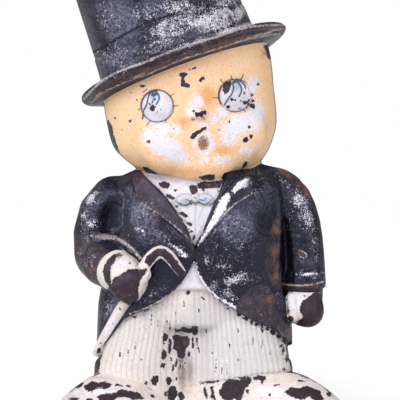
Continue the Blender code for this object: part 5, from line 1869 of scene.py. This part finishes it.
class Shader:
    """A material's nodes, wired by short calls."""

    def __init__(self, name: str) -> None:
        """Makes a material with its main shader and the place on the figure, in mm.

        Args:
            name: The material's name.
        """
        self.material = bpy.data.materials.new(name)
        self.material.use_nodes = True
        self.tree = self.material.node_tree
        self.surface = self.tree.nodes["Principled BSDF"]
        place = self.tree.nodes.new("ShaderNodeTexCoord").outputs["Object"]
        scale = self.tree.nodes.new("ShaderNodeVectorMath")
        scale.operation = "SCALE"
        scale.inputs["Scale"].default_value = 1 / MM
        self.put(scale.inputs[0], place)
        self.place = scale.outputs["Vector"]

    def put(self, socket: Socket, value: Socket | float | Numbers) -> None:
        """Links or sets a socket.

        Args:
            socket: The socket.
            value: What to link to it, or its value.
        """
        if isinstance(value, bpy.types.NodeSocket):
            self.tree.links.new(value, socket)
        else:
            socket.default_value = value

    def math(self, operation: str, first: Socket | float, second: Socket | float,
             clamp: bool = False) -> Socket:
        """A sum, product or other work on two values.

        Args:
            operation: The kind of work.
            first: The first value.
            second: The second value.
            clamp: Whether the result is kept from 0 to 1.

        Returns:
            The result.
        """
        node = self.tree.nodes.new("ShaderNodeMath")
        node.operation = operation
        node.use_clamp = clamp
        self.put(node.inputs[0], first)
        self.put(node.inputs[1], second)
        return node.outputs[0]

    def times(self, *values: Socket | float) -> Socket:
        """The product of some values."""
        return reduce(lambda first, second: self.math("MULTIPLY", first, second), values)

    def total(self, *values: Socket | float) -> Socket:
        """The sum of some values."""
        return reduce(lambda first, second: self.math("ADD", first, second), values)

    def attribute(self, name: str) -> Socket:
        """A value that the skin's points carry.

        Args:
            name: Its name.

        Returns:
            The value.
        """
        node = self.tree.nodes.new("ShaderNodeAttribute")
        node.attribute_name = name
        return node.outputs["Fac"]

    def noise(self, size: float, detail: float, roughness: float) -> Socket:
        """A cloudy pattern, from about -0.5 to 0.5.

        Args:
            size: The size of its clouds, in mm.
            detail: How many finer layers it has.
            roughness: How strong they are.

        Returns:
            The pattern.
        """
        node = self.tree.nodes.new("ShaderNodeTexNoise")
        for name, value in (("Vector", self.place), ("Scale", 1 / size), ("Detail", detail),
                            ("Roughness", roughness)):
            self.put(node.inputs[name], value)
        return self.math("SUBTRACT", node.outputs["Fac"], 0.5)

    def above(self, value: Socket, edge: float, softness: float) -> Socket:
        """A mask that is 1 where a value is over an edge of some softness."""
        shifted = self.math("SUBTRACT", value, edge - softness / 2)
        return self.math("DIVIDE", shifted, softness, clamp=True)

    def inside(self, distance: Socket, softness: float) -> Socket:
        """A mask that is 1 within a mark, from the distance to its edge."""
        return self.above(self.times(distance, -1), 0, softness)

    def mix(self, mask: Socket, first: Socket | Numbers | float, second: Socket | Numbers | float,
            kind: str = "RGBA") -> Socket:
        """One colour or value laid over another.

        Args:
            mask: How much of the second shows.
            first: What lies underneath.
            second: What is laid over it.
            kind: What they are, as Blender names it.

        Returns:
            The result.
        """
        node = self.tree.nodes.new("ShaderNodeMix")
        node.data_type = kind
        under, made = (6, 2) if kind == "RGBA" else (2, 0)
        for number, value in ((0, mask), (under, first), (under + 1, second)):
            self.put(node.inputs[number], value)
        return node.outputs[made]

    def blend(self, mask: Socket, first: Socket | float, second: Socket | float) -> Socket:
        """One value laid over another as far as a mask says."""
        return self.mix(mask, first, second, "FLOAT")

    def tone(self, finish: Finish, pattern: Socket, contrast: float = 2.2) -> Socket:
        """A finish's two tones, mixed by a pattern with some contrast."""
        share = self.math("ADD", self.times(pattern, contrast), 0.5, clamp=True)
        return self.mix(share, linear(finish.tone), linear(finish.second))

    def finish(self, colour: Socket, roughness: Socket, height: Socket, strength: float) -> None:
        """Feeds the main shader.

        Args:
            colour: The surface's colour.
            roughness: Its roughness.
            height: How far it stands out, in mm.
            strength: How strongly that shows.
        """
        bump = self.tree.nodes.new("ShaderNodeBump")
        for name, value in (("Strength", strength), ("Distance", MM), ("Height", height)):
            self.put(bump.inputs[name], value)
        for name, value in (("Base Color", colour), ("Roughness", roughness),
                            ("Normal", bump.outputs["Normal"]), ("Specular Tint", linear(GLINT))):
            self.put(self.surface.inputs[name], value)


class CastingFinish:
    """The paint of the castings: each colour in its place, worn down to primer and iron, with painted
    highlights and painted shading.
    """

    def __init__(self) -> None:
        """Builds the material."""
        self.shader = Shader("painted_iron")
        s = self.shader
        self.clouds = {"grain": s.noise(0.42, 2, 0.6), "fine": s.noise(0.9, 4, 0.6),
                       "pebble": s.noise(1.5, 1, 0.4), "middle": s.noise(3.2, 4, 0.6),
                       "broad": s.noise(13, 3, 0.55)}
        self.fine, self.middle = self.clouds["fine"], self.clouds["middle"]
        self.masks = {paint: s.above(self.cloudy(paint.value, middle=0.5), 0, 0.14)
                      for paint in Paint}
        self.flesh = self.masks[Paint.FLESH]
        self.pale = s.math("ADD", self.masks[Paint.WHITE], self.masks[Paint.CREAM], clamp=True)
        self.light = s.math("ADD", self.pale, self.flesh, clamp=True)
        self.dark = s.math("SUBTRACT", 1, self.light)
        self.colour = s.tone(FINISHES[Paint.BLACK], self.cloudy(middle=1, fine=0.6))
        self.rough = FINISHES[Paint.BLACK].roughness
        for layer in (self.paint, self.bleach, self.stain, self.chip, self.dust, self.raise_surface):
            layer()

    def cloudy(self, *values: Socket | float | str, **strengths: float) -> Socket:
        """The sum of some values and of the casting's clouds, as strong as their names say.

        Args:
            *values: The values, or the names of those that the skin's points carry.
            **strengths: The clouds' strengths.

        Returns:
            The sum.
        """
        s = self.shader
        carried = (s.attribute(value) if isinstance(value, str) else value for value in values)
        return s.total(*carried, *(s.times(self.clouds[name], strength)
                                   for name, strength in strengths.items()))

    def lay(self, mask: Socket, finish: Finish, pattern: Socket | None = None) -> None:
        """Lays a finish over what is there.

        Args:
            mask: Where it lies.
            finish: The finish.
            pattern: What mixes its two tones, if not the fine clouds.
        """
        s = self.shader
        self.colour = s.mix(mask, self.colour, s.tone(finish, pattern or self.fine))
        self.rough = s.blend(mask, self.rough, finish.roughness)

    def paint(self) -> None:
        """Lays a violet-grey painted highlight on the black, the light paints over it, and on them orange,
        painted shading, a blue-grey tint, the mouth and drawn lines.
        """
        s = self.shader
        # On the black paint these marks lay a painted highlight. The light paints laid next cover it, and
        # the same marks tint them blue-grey further on.
        highlight_and_tint = s.math("ADD", s.attribute("highlight_and_tint"), s.times(self.middle, 0.5), clamp=True)
        self.lay(s.times(highlight_and_tint, s.above(s.attribute("highlight_and_tint"), 0.05, 0.3), 0.85), PAINTED_HIGHLIGHT,
                 self.cloudy(pebble=1, fine=0.8))
        mottle = self.cloudy(grain=0.8, fine=0.9, broad=0.5)
        for paint in (Paint.FLESH, Paint.WHITE, Paint.CREAM):
            self.lay(self.masks[paint], FINISHES[paint], mottle)
        # These marks lay orange on the flesh, partly cheek paint and partly painted shading, and warm
        # painted shading on the white and cream.
        orange_and_warm_shading = s.math("MULTIPLY", self.cloudy("orange_and_warm_shading", middle=0.9, fine=0.9), 0.85, clamp=True)
        self.lay(s.times(orange_and_warm_shading, self.flesh), FLESH_ORANGE_AND_SHADING)
        self.lay(s.times(orange_and_warm_shading, self.pale, 0.6), WARM_SHADING)
        # On the light paints the same marks lay a blue-grey tint.
        self.lay(s.times(s.attribute("highlight_and_tint"), self.light), BLUE_TINT)
        # Engraved grooves on the light paints are painted darker: painted shading and dirt in them.
        groove = s.math("MULTIPLY", s.attribute("groove"), 1.6, clamp=True)
        self.lay(s.times(groove, self.light, 0.34), DIRT_AND_SHADING)
        self.lay(s.inside(self.cloudy("lip", fine=3), 1.1), LIP, self.cloudy(middle=1, fine=1))
        inked = s.inside(self.cloudy("ink", fine=0.7), 0.45)
        self.lay(s.times(inked, self.light, 0.9), INK)
        # On the black, drawn lines are painted darker still: painted shading along the hatband's groove.
        self.lay(s.times(inked, self.dark, 0.95), GROOVE_SHADING)

    def bleach(self) -> None:
        """Lets the primer show in patches, more broken up on the flesh than on the dark paint."""
        s = self.shader
        on_flesh = s.inside(self.cloudy("primer", grain=20, fine=11, middle=11), 4.4)
        on_dark = s.inside(self.cloudy("primer", fine=7, middle=5, grain=3), 0.5)
        self.lay(s.blend(self.flesh, on_dark, on_flesh), PRIMER)

    def stain(self) -> None:
        """Rust stains what lies round it, painted shading darkens the hollows and the creases marked for
        it, and dirt darkens pits.
        """
        s = self.shader
        spread = s.above(self.cloudy("rust", middle=1.5, fine=0.9), 0.55, 0.6)
        self.rusty = s.times(spread, s.above(s.attribute("rust"), 0.06, 0.2))
        self.lay(s.times(self.rusty, 0.7), RUST)
        # Hollows, and the creases marked for it, are darkened on the light paints: painted shading, with a
        # little dirt.
        hollow = s.times(s.above(self.cloudy("hollow", middle=0.5), 0.55, 0.6), 0.45)
        shading_and_dirt = s.math("MULTIPLY", self.cloudy("shading_and_dirt", middle=0.5, fine=0.5), 0.8, clamp=True)
        held = s.above(self.cloudy("shading_and_dirt", "hollow"), 0.4, 0.3)
        self.lay(s.times(s.math("MAXIMUM", hollow, shading_and_dirt), held, self.light), DIRT_AND_SHADING)
        pits = s.above(self.cloudy(fine=1, grain=1.1, middle=0.5), 0.31, 0.06)
        self.lay(s.times(pits, self.light, 0.55), DIRT_AND_SHADING, self.middle)

    def chip(self) -> None:
        """Chips the paint down to the iron, with a pale rim on the light paints."""
        s = self.shader
        uneven = {"fine": 4.4, "grain": 1.8, "middle": 4.2}
        ridge = s.times(s.attribute("ridge"), 0.3)
        stray = s.above(s.total(self.cloudy(middle=1, fine=1, broad=0.5), ridge), 0.44, 0.03)
        self.bare = s.math("MAXIMUM", s.inside(self.cloudy("chip", **uneven), 0.45),
                           s.times(stray, s.attribute("stray")))
        rim = s.inside(self.cloudy("chip", -0.8, **uneven), 0.9)
        self.colour = s.mix(s.times(rim, self.light, 0.4), self.colour, linear(PRIMER.tone))
        iron = s.tone(IRON, self.cloudy(middle=1, fine=1, broad=0.6))
        iron = s.mix(s.times(self.light, 0.7), iron, linear(CHIPPED))
        iron = s.mix(s.times(self.rusty, 0.85), iron, s.tone(RUST, self.middle))
        self.colour = s.mix(self.bare, self.colour, iron)
        self.rough = s.blend(self.bare, self.rough, IRON.roughness)

    def dust(self) -> None:
        """Leaves specks of primer on the black and the iron, and rubs their edges pale."""
        s = self.shader
        dark = s.math("MAXIMUM", self.dark, self.bare)
        speckle = s.attribute("speckle")
        specks = self.cloudy(fine=0.7, grain=1.3, middle=0.6)
        specks = s.above(s.total(specks, s.times(speckle, 0.25)), 0.36, 0.08)
        self.lay(s.times(specks, s.above(speckle, 0.02, 0.1), dark), PRIMER)
        worn = s.above(self.cloudy("ridge", middle=0.9, fine=0.7), 0.52, 0.2)
        self.lay(s.times(worn, dark, 0.3), WORN_EDGE)
        scuff = s.inside(self.cloudy("scuff", fine=5, middle=4), 0.7)
        self.lay(s.times(scuff, 0.8), WORN_EDGE)

    def raise_surface(self) -> None:
        """Gives the paint its thickness and the casting its sand texture."""
        s = self.shader
        height = s.total(s.times(self.middle, s.blend(self.dark, 0.14, 0.26)),
                         s.times(self.clouds["pebble"], s.blend(self.dark, 0.05, 0.42)),
                         s.times(self.fine, s.blend(self.dark, 0.08, 0.12)),
                         s.times(self.bare, -0.13))
        rough = s.math("ADD", self.rough, s.times(self.fine, 0.3), clamp=True)
        s.finish(self.colour, s.blend(s.attribute("upward"), rough, 0.85), height, 0.8)


class ScrewFinish:
    """Dark screw iron with rust in its hollows."""

    def __init__(self) -> None:
        """Builds the material."""
        self.shader = Shader("screw_iron")
        s = self.shader
        fine, middle = s.noise(0.5, 4, 0.6), s.noise(2.2, 3, 0.5)
        rusty = s.above(s.total(s.attribute("hollow"), s.times(middle, 1.6)), 0.35, 0.5)
        colour = s.mix(rusty, s.tone(STEEL, fine, 1.8), linear(RUST.tone))
        s.surface.inputs["Metallic"].default_value = 0.6
        s.finish(colour, s.total(s.times(fine, 0.4), 0.48), s.times(fine, 0.25), 0.5)


def stand(name: str, data: bpy.types.ID, at: Place = (0, 0, 0),
          turn: Place = (0, 0, 0)) -> bpy.types.Object:
    """Puts a new object in the scene.

    Args:
        name: The object's name.
        data: What it shows.
        at: Its place, in metres.
        turn: Its turn about the three axes, in degrees.

    Returns:
        The object.
    """
    made = bpy.data.objects.new(name, data)
    made.location = at
    made.rotation_euler = [math.radians(angle) for angle in turn]
    bpy.context.scene.collection.objects.link(made)
    return made


def mesh_object(name: str, skin: Skin, chosen: Array, values: dict[str, Array],
                material: bpy.types.Material) -> bpy.types.Object:
    """A piece from some of a skin's quads.

    Args:
        name: The piece's name.
        skin: The skin.
        chosen: Which of its quads the piece takes.
        values: What each of the skin's points carries, by name.
        material: The piece's material.

    Returns:
        The piece.
    """
    quads = skin.quads[chosen]
    used, local = np.unique(quads, return_inverse=True)
    mesh = bpy.data.meshes.new(name)
    mesh.vertices.add(len(used))
    mesh.vertices.foreach_set("co", (skin.points[used] * MM).astype(np.float32).ravel())
    mesh.loops.add(quads.size)
    mesh.loops.foreach_set("vertex_index", local.astype(np.int32).ravel())
    mesh.polygons.add(len(quads))
    mesh.polygons.foreach_set("loop_start", np.arange(0, quads.size, 4, dtype=np.int32))
    mesh.update(calc_edges=True)
    mesh.validate()
    mesh.shade_smooth()
    mesh.normals_split_custom_set_from_vertices(skin.normals[used].astype(np.float32))
    for key, carried in values.items():
        layer = mesh.attributes.new(key, "FLOAT", "POINT")
        layer.data.foreach_set("value", carried[used].astype(np.float32))
    mesh.materials.append(material)
    log.info("%s: %d faces", name, len(quads))
    return stand(name, mesh)


@dataclass
class Casting:
    """One half of the figure: it is sculpted as a whole and then parted for painting.

    Its corners are first those of the solid pair of castings, in mm. The painted halves meet at
    the seam, so that no light falls through it.
    """

    half: Half
    parts: Sequence[SubAssembly]
    low: Array
    high: Array

    def __post_init__(self) -> None:
        """Ends the half at the seam."""
        self.front = self.half is Half.FRONT
        self.low, self.high = self.low.copy(), self.high.copy()
        (self.high if self.front else self.low)[1] = 0

    def space(self) -> Space:
        """The half's solid in a block of space, which goes on behind the seam.

        Returns:
            The block.
        """
        pitch = FRONT_PITCH if self.front else REAR_PITCH
        space = Space(self.low - MARGIN, self.high + MARGIN, pitch)
        for part in self.parts:
            for form in part.solids():
                space.change(form, False)
            for form in part.cuts():
                space.change(form, True)
        for screw in SCREWS:
            space.change(screw.recess(), True)
        return space

    def nearest(self, places: Array) -> tuple[Array, dict[str, Array]]:
        """Which part and which paint each point of the skin belongs to.

        Args:
            places: The points, one to a row, in mm.

        Returns:
            The number of each point's part, and by how much each paint leads the others.
        """
        by_part = np.full((len(Part), len(places)), FAR)
        by_paint = np.full((len(Paint), len(places)), FAR)
        for form in (form for part in self.parts for form in part.solids()):
            low, high = form.box()
            near = np.all((places > low - MARGIN) & (places < high + MARGIN), axis=1)
            away = form.distance(places[near].T)
            for table, row in ((by_part, ORDER[form.part]), (by_paint, ORDER[form.paint])):
                table[row, near] = np.minimum(table[row, near], away)
        leads = {paint.value: np.delete(by_paint, row, axis=0).min(0) - by_paint[row]
                 for row, paint in enumerate(Paint)}
        return by_part.argmin(0), leads

    def dress(self, skin: Skin, space: Space) -> tuple[Array, dict[str, Array]]:
        """Engraves the skin, and works out what its points carry.

        Args:
            skin: The half's skin.
            space: The figure round the half, as it was before it was parted at the seam.

        Returns:
            The number of each point's part, and the values that the paint reads.
        """
        part_of, values = self.nearest(skin.points)
        at, normals = skin.points.T, skin.normals
        drawn = np.array(DRAWING.read(at))
        facing = np.clip(-normals[:, 1], 0, 1)
        front = ramp(facing, 0.12, 0.25)
        rise, carved = np.zeros(len(front)), np.zeros(len(front))
        values |= {name: np.full(len(front), FAR) for name in SHARP_MARKS}
        values |= {name: np.zeros(len(front)) for name in SOFT_MARKS}
        # How hollow each point lies; the paint darkens hollows by it, as painted shading.
        values["hollow"] = 1 - space.read(skin.points + normals * HOLLOW_REACH) / HOLLOW_REACH
        values["ridge"] = 1 + space.read(skin.points - normals * RIDGE_REACH) / RIDGE_REACH
        values["upward"] = ramp(normals[:, 2], 0.8, 0.15)
        values["stray"] = np.full(len(front), 0.1 if self.front else 0.9)
        for part in self.parts:
            own = part_of == ORDER[part.part]
            rise[own] += part.relief(at[:, own])
            values["ridge"][own] *= part.edge_wear
            if not self.front:
                continue
            wear, places = part.wear(), drawn[:, own]
            carved[own] = Chart(4, 0).draw(wear.engraving, Way.CUT).read(places) * front[own]
            for name in SHARP_MARKS:
                chart = Chart(2, FAR).draw(getattr(wear, name), Way.SHARP)
                values[name][own] = chart.read(places)
            for name in SOFT_MARKS:
                chart = Chart(1, 0).draw(getattr(wear, name), Way.SOFT)
                values[name][own] = chart.read(places)
        values["groove"] = np.clip(-carved, 0, 1)
        skin.points = skin.points + normals * (rise + carved)[:, None]
        self.blacken(part_of, facing, at[1], values)
        return part_of, values

    def blacken(self, part_of: Array, facing: Array, y: Array, values: dict[str, Array]) -> None:
        """Paints the rear casting black, and the front one's edge along the seam.

        Args:
            part_of: The number of each point's part.
            facing: How squarely each point faces the front, from 0 to 1.
            y: How far back each point lies, in mm.
            values: The values that the paint reads, which are changed.
        """
        # How squarely a part faces the front where its black edge begins, and how far back that is.
        edges = {Part.TROUSERS: (0.36, -9), Part.SHOES: (0.42, -16), Part.HEAD: (0.2, -8)}
        black = y + SEAM_PAINT
        for part, (width, front) in edges.items():
            own = part_of == ORDER[part]
            side = np.minimum((width - facing[own]) * 8, y[own] - front)
            black[own] = np.maximum(black[own], side)
        if not self.front:
            black[:] = 4
            for name, amount in (("speckle", 0.12), ("rust", 0.26)):
                values[name] = np.full(len(y), amount)
        for paint in Paint:
            if paint is Paint.BLACK:
                values[paint.value] = np.maximum(values[paint.value], black)
            else:
                values[paint.value] = np.minimum(values[paint.value], -black)

    def build(self, finish: CastingFinish) -> None:
        """Makes the half's pieces, with the seam's face only along its rim, as on a hollow casting.

        Args:
            finish: The paint.
        """
        whole = self.space()
        space = copy(whole)
        y = space.axes[1][None, :, None]
        space.values = np.maximum(whole.values, y if self.front else -y).astype(np.float32)
        skin = Skin.of(space)
        part_of, values = self.dress(skin, whole)
        skin.points = np.clip(skin.points, self.low, self.high)
        skin.find_normals()
        inner = (whole.read(skin.points) < -SEAM_LIP) & (np.abs(skin.points[:, 1]) < 1e-3)
        kept = ~inner[skin.quads].all(axis=1)
        owner = part_of[skin.quads[:, 0]]
        for part in Part:
            chosen = kept & (owner == ORDER[part])
            if chosen.sum() < FEWEST_FACES:
                continue
            name = f"{part.value}_{self.half.value}"
            piece = mesh_object(name, skin, chosen, values, finish.shader.material)
            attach(piece, "root")
            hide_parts(f"{self.half.value}_casting")


@dataclass
class Screws:
    """The two screws that hold the castings together."""

    screws: Sequence[Screw] = SCREWS

    def build(self, finish: ScrewFinish) -> None:
        """Makes both screws.

        Args:
            finish: Their finish.
        """
        for screw in self.screws:
            skin = screw.sculpt()
            top = screw.seat + HEAD_GAP + screw.head_height
            depth = np.clip((top - skin.points[:, 1]) / screw.head_height, 0, 1)
            piece = mesh_object(f"{screw.name}_head", skin, np.ones(len(skin.quads), bool),
                                {"hollow": depth}, finish.shader.material)
            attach(piece, "root")
            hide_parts(screw.name)


@dataclass
class Studio:
    """The pale floor, the soft lamps, each with its turn, height and strength, and the camera."""

    lamps: Sequence[tuple[str, float, float, float]] = (
        ("front_lamp", -10, 34, 1.6), ("left_lamp", -62, 22, 1.25), ("right_lamp", 52, 24, 0.75),
        ("top_lamp", 0, 90, 0.35))
    floor_reach: float = 6
    floor_tone: float = 0.9
    floor_glow: float = 0.3
    sky_strength: float = 0.24
    camera_distance: float = 0.8
    camera_height: float = 0.1046
    sensor: float = 36
    frame_width: float = 0.186
    lamp_spread: float = 40

    def floor(self) -> None:
        """The floor that the figure stands on, which looks paler to the camera than to the lamps."""
        mesh = bpy.data.meshes.new("floor")
        reach = self.floor_reach
        corners = [(-reach, -reach, 0), (reach, -reach, 0), (reach, reach, 0), (-reach, reach, 0)]
        mesh.from_pydata(corners, [], [(0, 1, 2, 3)])
        shader = Shader("floor")
        seen = shader.tree.nodes.new("ShaderNodeLightPath").outputs["Is Camera Ray"]
        for name, value in (("Base Color", (*[self.floor_tone] * 3, 1)), ("Roughness", 1),
                            ("Specular IOR Level", 0), ("Emission Color", (1, 1, 1, 1)),
                            ("Emission Strength", shader.times(seen, self.floor_glow))):
            shader.put(shader.surface.inputs[name], value)
        mesh.materials.append(shader.material)
        stand("floor", mesh)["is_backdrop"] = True

    def lamp(self, name: str, turn: float, height: float, strength: float) -> None:
        """A wide soft lamp, far away.

        Args:
            name: Its name.
            turn: Its side: degrees from straight in front, to the picture's right.
            height: Its height, in degrees above the floor.
            strength: Its strength.
        """
        data = bpy.data.lights.new(name, "SUN")
        data.angle = math.radians(self.lamp_spread)
        data.energy = strength
        stand(name, data, turn=(90 - height, 0, turn))

    def sky(self) -> None:
        """The white surroundings, which light the figure less than they show."""
        world = bpy.data.worlds.new("studio")
        world.use_nodes = True
        nodes, links = world.node_tree.nodes, world.node_tree.links
        background = nodes["Background"]
        background.inputs["Color"].default_value = (1, 1, 1, 1)
        path = nodes.new("ShaderNodeLightPath")
        seen = nodes.new("ShaderNodeMath")
        seen.operation = "MAXIMUM"
        strength = nodes.new("ShaderNodeMapRange")
        strength.inputs["To Min"].default_value = self.sky_strength
        strength.inputs["To Max"].default_value = 1
        for start, stop in ((path.outputs["Is Camera Ray"], seen.inputs[0]),
                            (path.outputs["Is Transmission Ray"], seen.inputs[1]),
                            (seen.outputs[0], strength.inputs["Value"]),
                            (strength.outputs["Result"], background.inputs["Strength"])):
            links.new(start, stop)
        bpy.context.scene.world = world

    def camera(self) -> None:
        """The camera, level and straight in front."""
        data = bpy.data.cameras.new("camera")
        data.sensor_width = self.sensor
        data.lens = self.sensor * self.camera_distance / self.frame_width
        place = (0, -self.camera_distance, self.camera_height)
        bpy.context.scene.camera = stand("camera", data, place, (90, 0, 0))

    def build(self) -> None:
        """Sets the studio up."""
        self.floor()
        self.sky()
        self.camera()
        for lamp in self.lamps:
            self.lamp(*lamp)
        bpy.context.scene.view_settings.view_transform = "Standard"
        log.info("studio: floor, sky, camera and four lamps")


def main() -> None:
    """Builds the studio and every piece of the figure, in order."""
    logging.basicConfig(level=logging.INFO, format="%(name)s: %(message)s")
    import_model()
    cad_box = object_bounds()
    low, high = (np.array(corner) / MM for corner in cad_box)
    Studio().build()
    parts = (Shirt(), Trousers(), Shoes(), Head(), Coat(), Hands(), Cane(), Hat())
    finish = CastingFinish()
    for half in Half:
        Casting(half, parts, low, high).build(finish)
    Screws().build(ScrewFinish())


if __name__ == "__main__":
    main()
